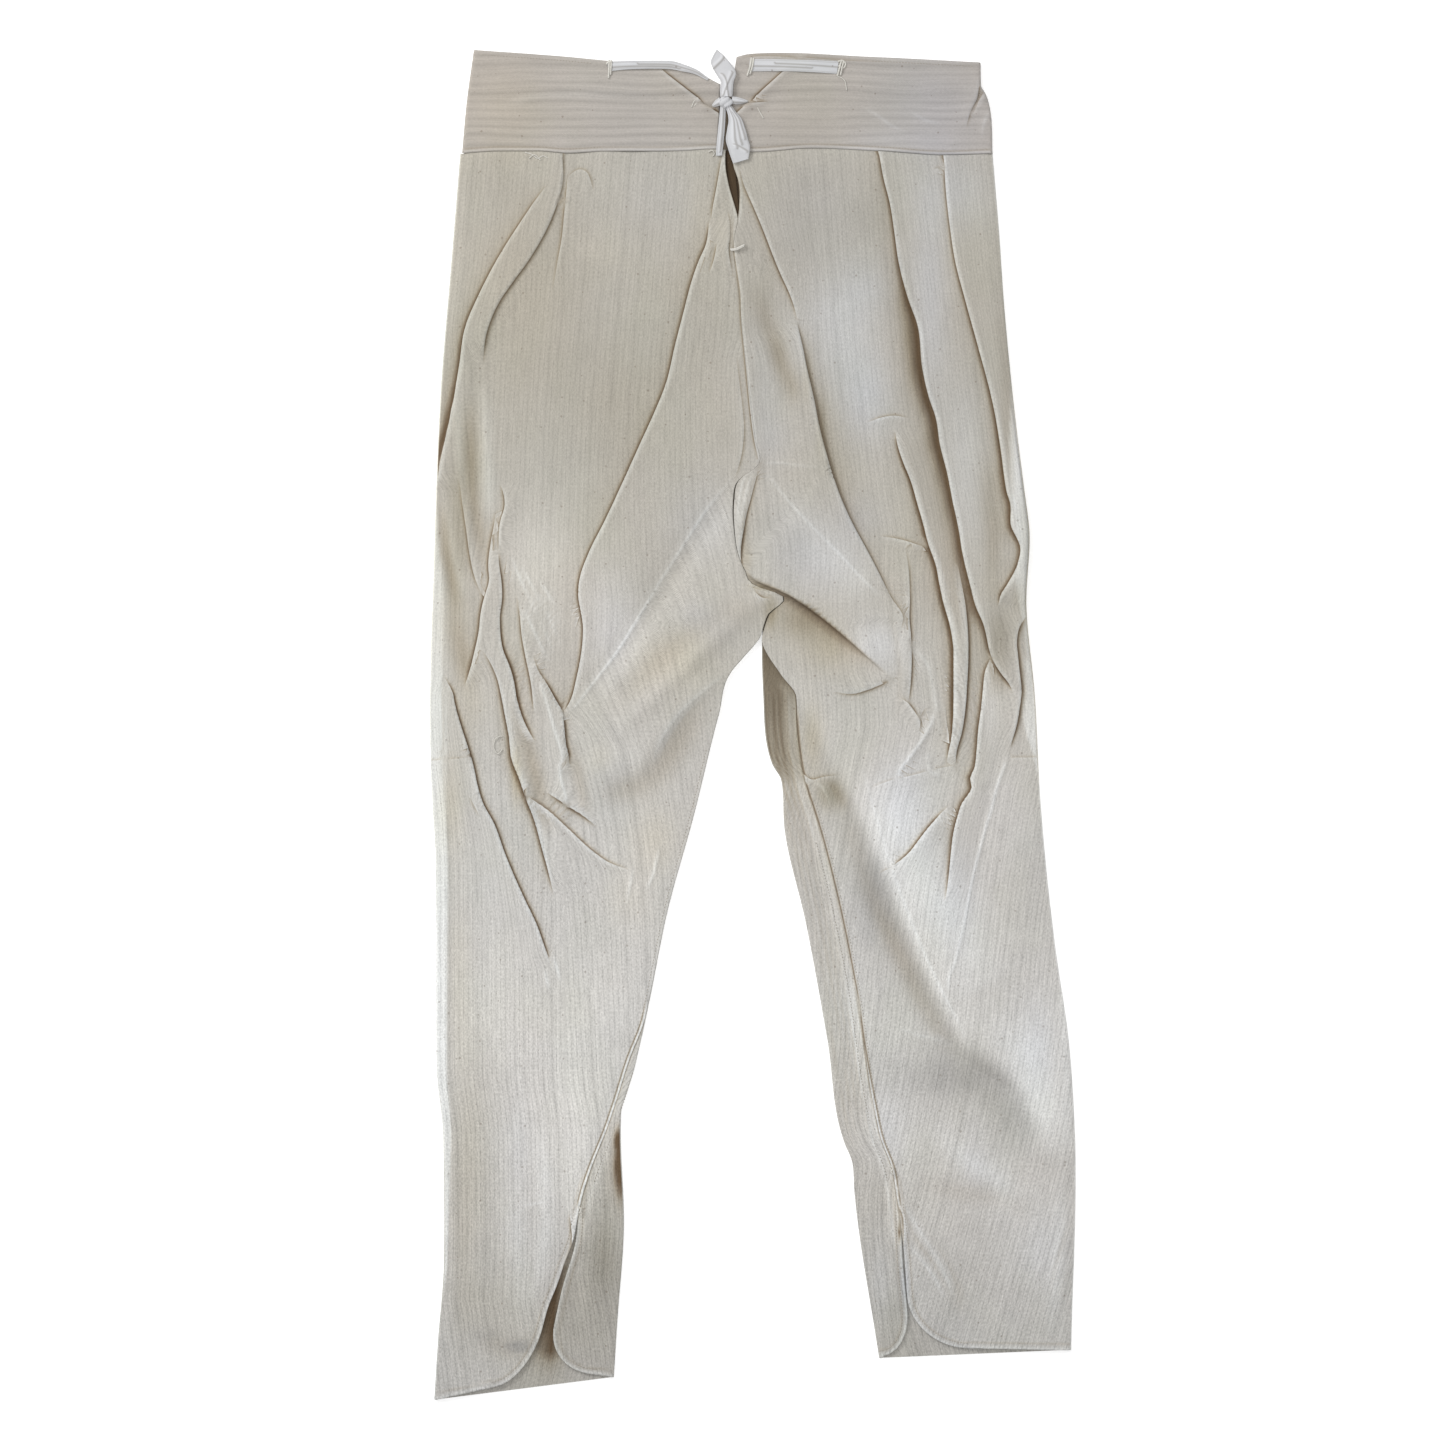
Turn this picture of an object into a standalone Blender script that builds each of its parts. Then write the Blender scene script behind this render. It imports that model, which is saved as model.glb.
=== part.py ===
"""Old-fashioned cotton drawers (sleep trousers) laid flat on a table, front upwards.

All sizes are in millimetres and become metres only when a mesh is made. A place on the flat garment is
given as (down, across): down is measured from the highest point of the waistband towards the feet, across
from the centre front, positive towards the wearer's left leg, which lies on the right as seen from above.
"""

from collections import namedtuple

import bpy
import numpy as np
from mathutils import Matrix

# Driving dimensions
LENGTH = 1080.0
CLOTH_WALL = 1.2
BAND_WALL = 1.6
TAPE_WALL = 1.0
GAP = 0.3
WAIST_SEAM = 83.0
SEAM_LAP = 7.0
SIDE_ROLL = 1.5
SEAM_ROLL = 0.75

# Heights of the layers above the table, at the middle of each wall
BACK_LEVEL = CLOTH_WALL / 2
TURNED_LEVEL = BACK_LEVEL + 2 * SEAM_ROLL
FRONT_LEVEL = BACK_LEVEL + 2 * SIDE_ROLL
BAND_BACK_LEVEL = BAND_WALL / 2
BAND_FRONT_LEVEL = BAND_BACK_LEVEL + 2 * SIDE_ROLL
ON_BAND_LEVEL = BAND_FRONT_LEVEL + BAND_WALL / 2 + GAP + TAPE_WALL / 2

# The centre of the finished outline, which becomes the origin on the table
CENTRE_DOWN = LENGTH / 2
CENTRE_ACROSS = 13.95

# How finely the sheets are cut into faces
FRONT_COLUMNS = 24
BACK_COLUMNS = 3
TURNED_COLUMNS = 2
ROLL_STEPS = 3
SEAT_ROWS = 16
CROTCH_ROWS = 5
THIGH_ROWS = 18
VENT_ROWS = 12
BAND_COLUMNS = 9
BAND_ROWS = 5
SEAT_END = 425
CROTCH_START = 432
CROTCH_END = 472
THIGH_START = 498
VENT_START = 925

# Edges of each leg, as rows of (down, across). CENTRE is where the two fronts meet, FLY_HALF half the width of
# the slit between them. Below the crotch each front ends at its inseam.
CENTRE = [
    (83, -5.2), (110, -0.7), (122, 1.8), (157, -1.6), (186, 2), (239, 7.7), (313, 16.6), (331, 19.4),
    (345, 2.4), (360, -1), (389, 0), (416, 8), (429, 17.4), (435.6, 36.5), (452, 26.6), (470, 20.8),
]
FLY_HALF = [(83, 2.2), (98, 3), (110, 4), (122, 2.2), (137, 0.2), (400, 0.2), (435, 0.4), (470, 0.8)]
CROTCH = 470
RIGHT_OUTER = [
    (83, -220), (168, -227), (278, -236), (405, -241), (568, -244), (657, -239.5),
    (812, -239), (871, -233.5), (969, -233), (1036, -238), (1080, -240.8),
]
RIGHT_INSEAM = [
    (485, 7.2), (497, -3), (532, -13.2), (614, -33.6), (688, -54), (761, -70), (911, -120), (1012, -147),
]
RIGHT_CORNER = (1069.6, -195)
RIGHT_INNER = [
    (83, -0.15), (435, 23.4), (470, 19.4), (485, 7.5), (497, -2.7), (532, -12.9), (614, -33.3),
    (688, -53.7), (759, -69), (841, -90.6), (948, -89.1), (1015, -94), (1062, -97),
]
RIGHT_FLAP = [(870, -112), (911, -124), (956, -128), (990, -138), (1020, -144.6)]
RIGHT_FLAP_CORNER = (1059.5, -111)
LEFT_OUTER = [
    (83, 206.2), (143, 211.2), (201, 215.2), (291, 224), (354, 231.8), (382, 235.4), (443, 233.2),
    (515, 239.9), (601, 244.5), (716, 256.2), (793, 267.2), (863, 271.9), (1040.2, 269.1),
]
LEFT_INSEAM = [
    (500, 37), (517, 49), (541, 50), (586, 56.6), (617, 66.4), (679, 82.4), (745, 95.8), (845, 111.2),
    (870, 116.6), (897, 126.4), (911, 128.6), (955, 134.6), (997, 137.8),
]
LEFT_CORNER = (1038.6, 187)
LEFT_INNER = [
    (83, 0.15), (435, 25), (470, 21.8), (515, 22.6), (571, 29.7), (584, 37), (622, 39.5),
    (698, 56.6), (791, 73.8), (876, 88.2), (889, 93.6), (913, 95.5), (1046.6, 115.4),
]
LEFT_FLAP = [(870, 122), (911, 131), (970, 134.2), (1008, 137.8)]
LEFT_FLAP_CORNER = (1044.6, 117)

# Edges of the waistband halves, as rows of (across, down)
RIGHT_BAND_TOP = [(-209, 0), (-140, 5), (-76, 10.6), (-49, 11.4), (-31, 17.8), (-12, 27.5)]
RIGHT_BAND_BACK_TOP = [(-209, 0), (-140, 9), (-60, 22), (-0.15, 33)]
LEFT_BAND_TOP = [(0, 6), (12, 3.2), (113, 5.7), (196.6, 10)]
LEFT_BAND_BACK_TOP = [(0.15, 33), (60, 22), (113, 14), (196.6, 10)]
RIGHT_BAND_SIDE = [(0, -209), (41.5, -214.7), (82.7, -218.5)]
LEFT_BAND_SIDE = [(10, 196.6), (28.6, 197), (34, 200), (51, 204.8), (82.7, 206.2)]
RIGHT_BAND_FRONT = [(27.5, -11.8), (52, -12.6), (82.7, -14.4)]
LEFT_BAND_FRONT = [(6, 1.2), (14, 0), (34, -1.9), (82.7, -2.6)]

Side = namedtuple("Side", "name outward outer inseam corner inner flap flap_corner band_top band_back_top "
                  "band_side band_front")
RIGHT = Side("right", -1, RIGHT_OUTER, RIGHT_INSEAM, RIGHT_CORNER, RIGHT_INNER, RIGHT_FLAP, RIGHT_FLAP_CORNER,
             RIGHT_BAND_TOP, RIGHT_BAND_BACK_TOP, RIGHT_BAND_SIDE, RIGHT_BAND_FRONT)
LEFT = Side("left", 1, LEFT_OUTER, LEFT_INSEAM, LEFT_CORNER, LEFT_INNER, LEFT_FLAP, LEFT_FLAP_CORNER,
            LEFT_BAND_TOP, LEFT_BAND_BACK_TOP, LEFT_BAND_SIDE, LEFT_BAND_FRONT)

# A fold stands up by height on the side of its line that high names (-1 the right of someone walking down
# the path, +1 the left, 0 both sides alike) and dies away over spread on that side.
Fold = namedtuple("Fold", "name high height spread path")
FOLDS = [
    Fold("right tuck inner edge", -1, 3.0, 26, [(85, -137.5), (102, -137), (120, -141), (142, -150),
                                                (168, -163), (201, -186), (229, -199), (243, -200)]),
    Fold("right tuck outer edge", 1, 3.2, 26, [(113, -153), (148, -180), (168, -192), (201, -210.5),
                                               (257, -223), (296, -229.5), (341, -236)]),
    Fold("left front tuck", 1, 4.2, 46, [(83, 114), (102, 116), (143, 125), (201, 137.5), (244, 147.5),
                                         (296, 160), (336, 168), (375, 175.5), (413, 183), (436, 189),
                                         (461, 198), (497, 211), (512, 220)]),
    Fold("left side tuck", -1, 2.6, 30, [(86, 167), (124, 170), (168, 175), (201, 183), (224, 189.5),
                                         (250, 196), (280, 203.5), (329, 213.5), (367, 218.5)]),
    Fold("centre fold, left line", -1, 5.0, 60, [(99, 1), (132, 17), (159, 30), (192, 42.5), (218, 49.5),
                                                 (252, 58.5), (288, 65.5), (328, 75), (357, 84), (380, 93.5),
                                                 (400, 104), (431, 119), (457, 134)]),
    Fold("centre fold, right line", 1, 5.0, 60, [(93, -12), (129, -18.5), (159, -25), (201, -38), (229, -46),
                                                 (260, -55), (291, -64), (319, -77.5), (372, -102), (398, -115),
                                                 (420, -124), (436, -126.5), (456, -122.5), (480, -122.5),
                                                 (497, -126.5), (530, -135)]),
    Fold("right thigh ridge", 0, 4.0, 18, [(531, -135), (508, -115), (476, -89.5), (436, -64), (400, -43),
                                           (372, -25.5), (354, -10), (340, 2)]),
    Fold("left thigh ridge", 0, 3.0, 16, [(332, 18), (340, 24), (367, 45.5), (392, 71), (418, 97), (439, 117),
                                          (460, 134)]),
    Fold("left leg under the crotch", 1, 6.0, 50, [(427, 14), (435, 36.8), (446, 53), (463, 75), (485, 97),
                                                   (504, 113)]),
    Fold("right outer thigh", 1, 3.2, 16, [(349, -187), (359, -185), (380, -190), (431, -199), (456, -205.5),
                                           (482, -209), (510, -215.5)]),
    Fold("right middle thigh", 1, 3.4, 16, [(380, -189), (400, -190.5), (456, -187), (487, -184), (515, -176),
                                            (538, -167), (556, -162)]),
    Fold("right knee", 1, 3.0, 16, [(484, -201), (506, -190.5), (535, -184), (561, -180), (584, -174.5),
                                    (606, -166), (628, -157.5), (653, -152), (676, -145.5)]),
    Fold("right shin", 1, 3.0, 18, [(504, -230.5), (522, -224), (543, -217), (567, -209.5), (596, -204),
                                    (612, -197), (637, -186.5), (663, -176), (688, -165.5), (708, -156),
                                    (732, -147), (744, -143)]),
    Fold("left middle thigh", 1, 3.4, 18, [(308, 128), (329, 132), (360, 142.5), (395, 153), (423, 160),
                                           (451, 168), (476, 173), (508, 174.5), (540, 174.5), (567, 170.5)]),
    Fold("left knee", 1, 3.6, 18, [(487, 201), (515, 197.5), (551, 193.5), (576, 189.5), (591, 187),
                                   (605, 179), (630, 173), (654, 170.5), (681, 169)]),
    Fold("left shin", -1, 2.6, 16, [(456, 233), (476, 228), (500, 229.5), (515, 230.5), (537, 226.5),
                                    (564, 219.5), (588, 209.5), (625, 200), (659, 190.5), (698, 182.5),
                                    (730, 175), (750, 170.5)]),
]
FOLD_EDGE = 2.6
FOLD_END = 35.0
FOLD_WEAKEST = 0.2
FOLD_CLOSE = 7.0
FOLD_CROWD = 5.0
FRONT_SAMPLES = 240


def smooth(table, at):
    """A smooth line through the rows of a two-column table: a cubic between rows, with slopes from neighbours."""
    x, y = np.array(table, float).T
    at = np.clip(np.asarray(at, float), x[0], x[-1])
    slope = np.gradient(y, x)
    secant = np.diff(y) / np.diff(x)
    steepest = 3 * np.minimum(np.abs(np.r_[secant[:1], secant]), np.abs(np.r_[secant, secant[-1:]]))
    slope = np.clip(slope, -steepest, steepest)
    i = np.clip(np.searchsorted(x, at) - 1, 0, len(x) - 2)
    width = x[i + 1] - x[i]
    t = (at - x[i]) / width
    return (
        (1 + 2 * t) * (1 - t) ** 2 * y[i]
        + t * (1 - t) ** 2 * width * slope[i]
        + t * t * (3 - 2 * t) * y[i + 1]
        + t * t * (t - 1) * width * slope[i + 1]
    )


def from_line(path, down, across):
    """Signed distance from a path (positive on the left of someone walking along it) and the way walked."""
    points = np.array(path, float)
    nearest = np.full(down.shape, np.inf)
    signed = np.zeros(down.shape)
    walked = np.zeros(down.shape)
    length = 0.0
    for (d0, a0), (d1, a1) in zip(points[:-1], points[1:]):
        step = np.hypot(d1 - d0, a1 - a0)
        share = np.clip(((down - d0) * (d1 - d0) + (across - a0) * (a1 - a0)) / step**2, 0, 1)
        away = np.hypot(down - d0 - share * (d1 - d0), across - a0 - share * (a1 - a0))
        turn = (across - a0) * (d1 - d0) - (down - d0) * (a1 - a0)
        nearer = away < nearest
        nearest = np.where(nearer, away, nearest)
        signed = np.where(nearer, np.sign(turn) * away, signed)
        walked = np.where(nearer, length + share * step, walked)
        length += step
    return signed, walked, length


def fold_strength(walked, length):
    """A fold is weakest at its two ends."""
    end = np.clip(np.minimum(walked, length - walked) / min(FOLD_END, length / 3), 0, 1)
    return FOLD_WEAKEST + (1 - FOLD_WEAKEST) * end * end * (3 - 2 * end)


def fold_rise(fold, down, across):
    """How far a fold lifts the cloth: a step at its line that dies away on the high side, or an even ridge."""
    signed, walked, length = from_line(fold.path, down, across)
    strength = fold_strength(walked, length)
    past_end = (walked <= 0) | (walked >= length)
    strength = np.where(past_end, strength * np.exp(-((signed / FOLD_CLOSE) ** 2)), strength)
    rise = fold.height * strength * np.exp(-((signed / fold.spread) ** 2))
    if fold.high == 0:
        return rise
    return rise * (0.5 + 0.5 * np.tanh(fold.high * signed / FOLD_EDGE))


def along_front(start, end):
    """Columns of the front layer, closer together where the row crosses a fold."""
    row = between(start, end, FRONT_SAMPLES)
    crowd = np.ones(len(row))
    for fold in FOLDS:
        signed, walked, length = from_line(fold.path, row[:, 0], row[:, 1])
        crowd += FOLD_CROWD * fold_strength(walked, length) * np.exp(-((signed / FOLD_CLOSE) ** 2))
    share = np.concatenate([[0], np.cumsum((crowd[1:] + crowd[:-1]) / 2)])
    wanted = np.linspace(0, share[-1], FRONT_COLUMNS + 1)
    return np.stack([np.interp(wanted, share, row[:, 0]), np.interp(wanted, share, row[:, 1])], axis=1)


def front_level(down, across):
    """Height of the middle of the front layer above the table."""
    return FRONT_LEVEL + sum(fold_rise(fold, down, across) for fold in FOLDS)


def finish(name, mesh_points, faces, wall, look):
    """A closed solid: a surface at the middle of the cloth, in (down, across, up), given its wall."""
    down, across, up = np.array(mesh_points, float).T
    places = np.stack([across - CENTRE_ACROSS, CENTRE_DOWN - down, up], axis=1) / 1000
    mesh = bpy.data.meshes.new(name)
    mesh.from_pydata(places.tolist(), [], faces)
    mesh.materials.append(look)
    mesh.shade_smooth()
    made = bpy.data.objects.new(name, mesh)
    bpy.context.scene.collection.objects.link(made)
    thicken = made.modifiers.new("wall", "SOLIDIFY")
    thicken.thickness = wall / 1000
    thicken.offset = 0
    thicken.use_even_offset = True
    return made


def sheet(name, rows, wall, look):
    """A sheet of cloth lofted through rows of points, every row with the same number of points."""
    grid = np.array(rows, float)
    count, width = grid.shape[:2]
    faces = [
        (i * width + j, i * width + j + 1, (i + 1) * width + j + 1, (i + 1) * width + j)
        for i in range(count - 1)
        for j in range(width - 1)
    ]
    return finish(name, grid.reshape(-1, 3), faces, wall, look)


def between(a, b, count):
    """Points spaced evenly from a to b, both included."""
    return np.linspace(np.array(a, float), np.array(b, float), count + 1)


def roll(edge, low, high, outward):
    """The half-round turn of the cloth round an edge, from the lower to the upper layer, ends left out."""
    radius = (high - low) / 2
    angle = np.linspace(-np.pi / 2, np.pi / 2, ROLL_STEPS + 1)[1:-1]
    down = np.full(angle.shape, edge[0])
    across = edge[1] + outward * radius * (np.cos(angle) - 1)
    return np.stack([down, across, low + radius * (1 + np.sin(angle))], axis=1)


def with_level(points, level):
    """Points of (down, across) given one height."""
    return np.column_stack([points, np.full(len(points), level)])


def rounded(table, corner, down):
    """Across along an edge that ends in a quarter of an ellipse, which starts in line with the edge."""
    (d0, a0), (d1, a1) = table[-2:]
    slope = (a1 - a0) / (d1 - d0)
    if down <= d1:
        return float(smooth(table, down))
    t = (down - d1) / (corner[0] - d1)
    reach = corner[1] - a1 - slope * (corner[0] - d1)
    return a1 + slope * (down - d1) + reach * (1 - np.sqrt(max(0, 1 - t * t)))


def front_edge(side, down):
    """Across at the free edge of the front: the centre seam and fly, then the inseam and the vent's corner."""
    shift = side.outward * smooth(FLY_HALF, down)
    seam = [(d, a + side.outward * float(smooth(FLY_HALF, d))) for d, a in CENTRE]
    if down <= CROTCH:
        return float(smooth(CENTRE, down)) + shift
    return rounded(seam[-2:] + side.inseam, side.corner, down)


def flap_edge(side, down):
    """Across at the edge of the back where it is turned over to the front, past the inseam."""
    inside = [(d, a + side.outward * SEAM_LAP) for d, a in side.inner if d <= CROTCH]
    inseam = [(d, a + side.outward * SEAM_LAP) for d, a in side.inseam if d < side.flap[0][0]]
    return rounded(inside + inseam + side.flap, side.flap_corner, down)


def leg_row(side, share):
    """One ring of a leg, from the front's free edge round the side and the back to the turned-over edge."""
    def at(end):
        return WAIST_SEAM + share * (end - WAIST_SEAM)

    outward = side.outward
    front_end, flap_end, outer_end, inner_end = (
        at(end) for end in (side.corner[0], side.flap_corner[0], side.outer[-1][0], side.inner[-1][0])
    )
    edge = (front_end, front_edge(side, front_end))
    outer = (outer_end, float(smooth(side.outer, outer_end)))
    inner = (inner_end, float(smooth(side.inner, inner_end)))
    outer_flat = (outer[0], outer[1] - outward * (SIDE_ROLL + CLOTH_WALL / 2))
    inner_flat = (inner[0], inner[1] + outward * (SEAM_ROLL + CLOTH_WALL / 2))
    front = along_front(edge, outer_flat)
    front = np.column_stack([front, front_level(front[:, 0], front[:, 1])])
    side_turn = roll((outer[0], outer[1] - outward * CLOTH_WALL / 2), BACK_LEVEL, front[-1, 2], outward)
    back = with_level(between(outer_flat, inner_flat, BACK_COLUMNS), BACK_LEVEL)
    seam_turn = roll((inner[0], inner[1] + outward * CLOTH_WALL / 2), BACK_LEVEL, TURNED_LEVEL, -outward)
    over = with_level(between(inner_flat, (flap_end, flap_edge(side, flap_end)), TURNED_COLUMNS), TURNED_LEVEL)
    return np.vstack([front, side_turn[::-1], back, seam_turn, over])


def leg(side, look):
    """A leg is one piece of cloth: its only seam runs up the inside and its foot is left open in a vent."""
    end = side.corner[0]
    vent = VENT_START + (end - VENT_START) * np.sin(np.linspace(0, np.pi / 2, VENT_ROWS))
    stations = np.concatenate([
        np.linspace(WAIST_SEAM, SEAT_END, SEAT_ROWS),
        np.linspace(CROTCH_START, CROTCH_END, CROTCH_ROWS),
        np.linspace(THIGH_START, VENT_START, THIGH_ROWS)[:-1],
        vent,
    ])
    shares = (stations - WAIST_SEAM) / (end - WAIST_SEAM)
    return sheet(f"{side.name}_leg", [leg_row(side, share) for share in shares], CLOTH_WALL, look)


def band_row(side, share):
    """One line round half the waistband, from the front opening round the side to the centre back."""
    outward = side.outward

    def places(across, top):
        high = smooth(sorted(top), across)
        return high + share * (WAIST_SEAM - GAP - high)

    down = places(side.band_side[0][1], side.band_top)
    outer = float(smooth(side.band_side, down)) - outward * BAND_WALL / 2
    opening = float(smooth(side.band_front, places(side.band_front[0][1], side.band_top)))
    flat = outer - outward * SIDE_ROLL
    front = np.linspace(opening, flat, BAND_COLUMNS + 1)
    front = np.column_stack([places(front, side.band_top), front, np.full(front.shape, BAND_FRONT_LEVEL)])
    back = np.linspace(flat, side.inner[0][1], BACK_COLUMNS + 1)
    back = np.column_stack([places(back, side.band_back_top), back, np.full(back.shape, BAND_BACK_LEVEL)])
    turn = roll((front[-1, 0], outer), BAND_BACK_LEVEL, BAND_FRONT_LEVEL, outward)
    return np.vstack([front, turn[::-1], back])


def waistband(side, look):
    """Half the waistband, folded round the side of the waist."""
    shares = np.linspace(0, 1, BAND_ROWS + 1)
    return sheet(f"{side.name}_waistband", [band_row(side, share) for share in shares], BAND_WALL, look)


Tape = namedtuple("Tape", "name stations")
# Each station of a tape is (down, across, up above the waistband, width, lean of its flat side in degrees from
# straight across the page)
TAPES = [
    Tape("right_brace_loop", [(15, -99.5, 0, 8, 90), (14.5, -75, 0.8, 8, 88), (15.5, -56, 1, 8, 82),
                              (20, -38, 0.6, 7, 62), (25.5, -24, 0, 6, 58)]),
    Tape("left_brace_loop", [(14, 11.5, 0, 10.5, 90), (14.4, 35, 0.8, 10.5, 89), (15, 60, 0.8, 10.5, 88),
                             (15.6, 84, 0, 10.5, 87)]),
    Tape("tie_tail_up", [(38.3, -8.6, 2, 6, 0), (29, -6.5, 2.2, 9, 8), (22, -6, 2.6, 11.5, 14),
                         (13, -11, 2.4, 12, 24), (7, -14, 2, 10, 38), (2.6, -14.6, 1.6, 3, 44)]),
    Tape("tie_tail_short", [(46.7, -9, 1.2, 4, 0), (58, -10.6, 0.8, 6, 0), (72, -12.6, 0.6, 6, 0),
                            (85.5, -13.6, 0.6, 5.6, 8)]),
    Tape("tie_tail_long", [(46.6, -3.8, 1.2, 5, 0), (56, -0.6, 1.6, 10, 0), (68, 1.2, 1.8, 15, 0),
                           (78, 3.6, 1.8, 17.5, 0), (85, 5.2, 1.6, 16, -8), (90.5, 5.8, 1.4, 12, -16)]),
    Tape("tie_strand_right", [(43.8, -13.4, 1.4, 4, 90), (44.6, -16, 0.8, 4, 80), (46.4, -19.4, 0, 3.4, 70)]),
    Tape("tie_strand_left", [(41.8, -1.6, 1.6, 5.2, 90), (42, 4.4, 1, 5, 90), (42.4, 10.6, 0, 3, 90)]),
]
# The knot's centre (down, across), and its length down the page, width and height
KNOT = (42.4, -7.4)
KNOT_SIZE = (7.6, 9.4, 5.0)


def tape(spec, look):
    """A flat woven tape: a strip whose two edges stand half its width either side of its stations."""
    down, across, up, width, lean = np.array(spec.stations, float).T
    lean = np.radians(lean)
    half = width / 2
    level = ON_BAND_LEVEL + up
    one = np.stack([down - half * np.sin(lean), across - half * np.cos(lean), level], axis=1)
    other = np.stack([down + half * np.sin(lean), across + half * np.cos(lean), level], axis=1)
    return sheet(spec.name, np.stack([one, (one + other) / 2, other], axis=1), TAPE_WALL, look)


def knot(look):
    """The square knot where the tape is tied: a rounded lump lying on the waistband."""
    bpy.ops.mesh.primitive_uv_sphere_add(segments=16, ring_count=8, radius=0.5)
    made = bpy.context.object
    made.name = "tie_knot"
    made.data.name = "tie_knot"
    long, wide, high = KNOT_SIZE
    made.data.transform(Matrix.Diagonal((wide / 1000, long / 1000, high / 1000, 1)))
    up = ON_BAND_LEVEL - TAPE_WALL / 2 + high / 2
    made.location = ((KNOT[1] - CENTRE_ACROSS) / 1000, (CENTRE_DOWN - KNOT[0]) / 1000, up / 1000)
    made.data.materials.append(look)
    made.data.shade_smooth()
    return made


def material(name, colour, roughness):
    """A plain cloth material."""
    made = bpy.data.materials.new(name)
    made.use_nodes = True
    shader = made.node_tree.nodes["Principled BSDF"]
    shader.inputs["Base Color"].default_value = (*colour, 1)
    shader.inputs["Roughness"].default_value = roughness
    shader.inputs["Metallic"].default_value = 0
    return made


def main():
    for old in list(bpy.data.objects):
        bpy.data.objects.remove(old)
    cloth = material("cream herringbone cotton", (0.52, 0.48, 0.41), 0.9)
    white = material("white cotton tape", (0.72, 0.73, 0.76), 0.85)
    for side in (RIGHT, LEFT):
        leg(side, cloth)
        waistband(side, cloth)
    for spec in TAPES:
        tape(spec, white)
    knot(white)


main()
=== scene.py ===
# %% [markdown]
# Old-fashioned cotton drawers, a kind of sleep trousers, lie flat on a table and are seen from straight
# above. The packed model is loaded first, as a frame that never moves. Each piece of cloth is then made
# over the solid that holds its place: one thin sheet for each leg, one for each half of the waistband, and
# the tapes. A sheet is worked out with numpy as a grid of points, because the creases were measured one by
# one and a simulation would put them elsewhere.

from collections import namedtuple

import bpy
import numpy as np
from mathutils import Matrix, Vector


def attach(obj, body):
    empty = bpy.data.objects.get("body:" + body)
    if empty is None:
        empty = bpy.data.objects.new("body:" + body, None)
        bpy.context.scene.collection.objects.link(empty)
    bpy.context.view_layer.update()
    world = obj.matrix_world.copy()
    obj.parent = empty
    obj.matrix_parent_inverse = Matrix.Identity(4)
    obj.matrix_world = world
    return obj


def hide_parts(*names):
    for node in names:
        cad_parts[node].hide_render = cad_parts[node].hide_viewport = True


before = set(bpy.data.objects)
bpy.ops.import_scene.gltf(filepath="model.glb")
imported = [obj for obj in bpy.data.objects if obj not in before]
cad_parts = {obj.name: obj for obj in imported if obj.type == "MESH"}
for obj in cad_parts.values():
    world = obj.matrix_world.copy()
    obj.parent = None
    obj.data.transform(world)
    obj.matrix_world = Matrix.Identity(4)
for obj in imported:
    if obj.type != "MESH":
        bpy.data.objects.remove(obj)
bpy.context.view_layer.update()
print("solids in the frame:", len(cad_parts))

# %% [markdown]
# A flat garment is easiest to describe as a tailor does: how far down from the top of the waistband, how
# far across from the centre front (positive towards the wearer's left leg, on the right of the picture),
# and how high above the table, all in millimetres. The photograph shows 0.8 mm in each of its pixels, so a
# crease that was measured there needs only a shift and a scale.

# %% Places on the garment
LENGTH = 1080.0
CENTRE_ACROSS = 13.95
CLOTH_MIDDLE = 4.0
PIXEL = 0.8
PHOTO_SIZE = 1445
PHOTO_TOP = 50
PHOTO_CENTRE = 735


def from_photo(line):
    """Rows of (x, y, more) in the photograph's pixels as rows of (down, across, more): shifted and scaled."""
    x, y, *more = np.array(line, float).T
    return np.stack([(y - PHOTO_TOP) * PIXEL, (x - PHOTO_CENTRE) * PIXEL, *more], axis=1)


def to_world(down, across, up):
    """Metres in the frame: x is across from the middle of the garment, y is up the page, z is up."""
    return np.stack([across - CENTRE_ACROSS, LENGTH / 2 - down, up], axis=-1) / 1000


view_down, view_across = from_photo([(PHOTO_SIZE / 2, PHOTO_SIZE / 2)])[0]
VIEW_CENTRE = to_world(view_down, view_across, CLOTH_MIDDLE)
print("middle of the picture:", VIEW_CENTRE.round(4))

# %% [markdown]
# The photograph was taken from straight above, so the camera looks down and its frame is as wide as the
# picture is: the lens follows from the height of the camera and the width of the sensor.

# %% Camera
CAMERA_HEIGHT = 4.0
SENSOR = 36.0


def placed(name, data):
    """An object that shows some data, linked into the scene."""
    thing = bpy.data.objects.new(name, data)
    bpy.context.scene.collection.objects.link(thing)
    return thing


camera_data = bpy.data.cameras.new("camera")
camera_data.sensor_width = SENSOR
camera_data.lens = SENSOR * CAMERA_HEIGHT / (PHOTO_SIZE * PIXEL / 1000)
camera = placed("camera", camera_data)
camera.location = Vector(VIEW_CENTRE) + Vector((0, 0, CAMERA_HEIGHT))
bpy.context.scene.camera = camera
print("lens:", round(camera_data.lens, 2), "mm")

# %% [markdown]
# The table is a plain pale floor, which isn't part of the garment. A white world gives the even light of a
# studio tent, and one large soft lamp from the top left lets the creases show.

# %% Floor and light
FLOOR_HALF = 8.0
WORLD_LIGHT = 0.52
# Each lamp: place in metres, size in metres and power in watts
LAMPS = {"window lamp": ((-1.9, 1.9, 1.9), 1.3, 56), "top lamp": ((0.1, 0.1, 3.4), 1.2, 34)}


def set_inputs(node, values):
    """Numbers and colours set on a node's own sockets, by their names."""
    for socket, value in values.items():
        node.inputs[socket].default_value = value


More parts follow.
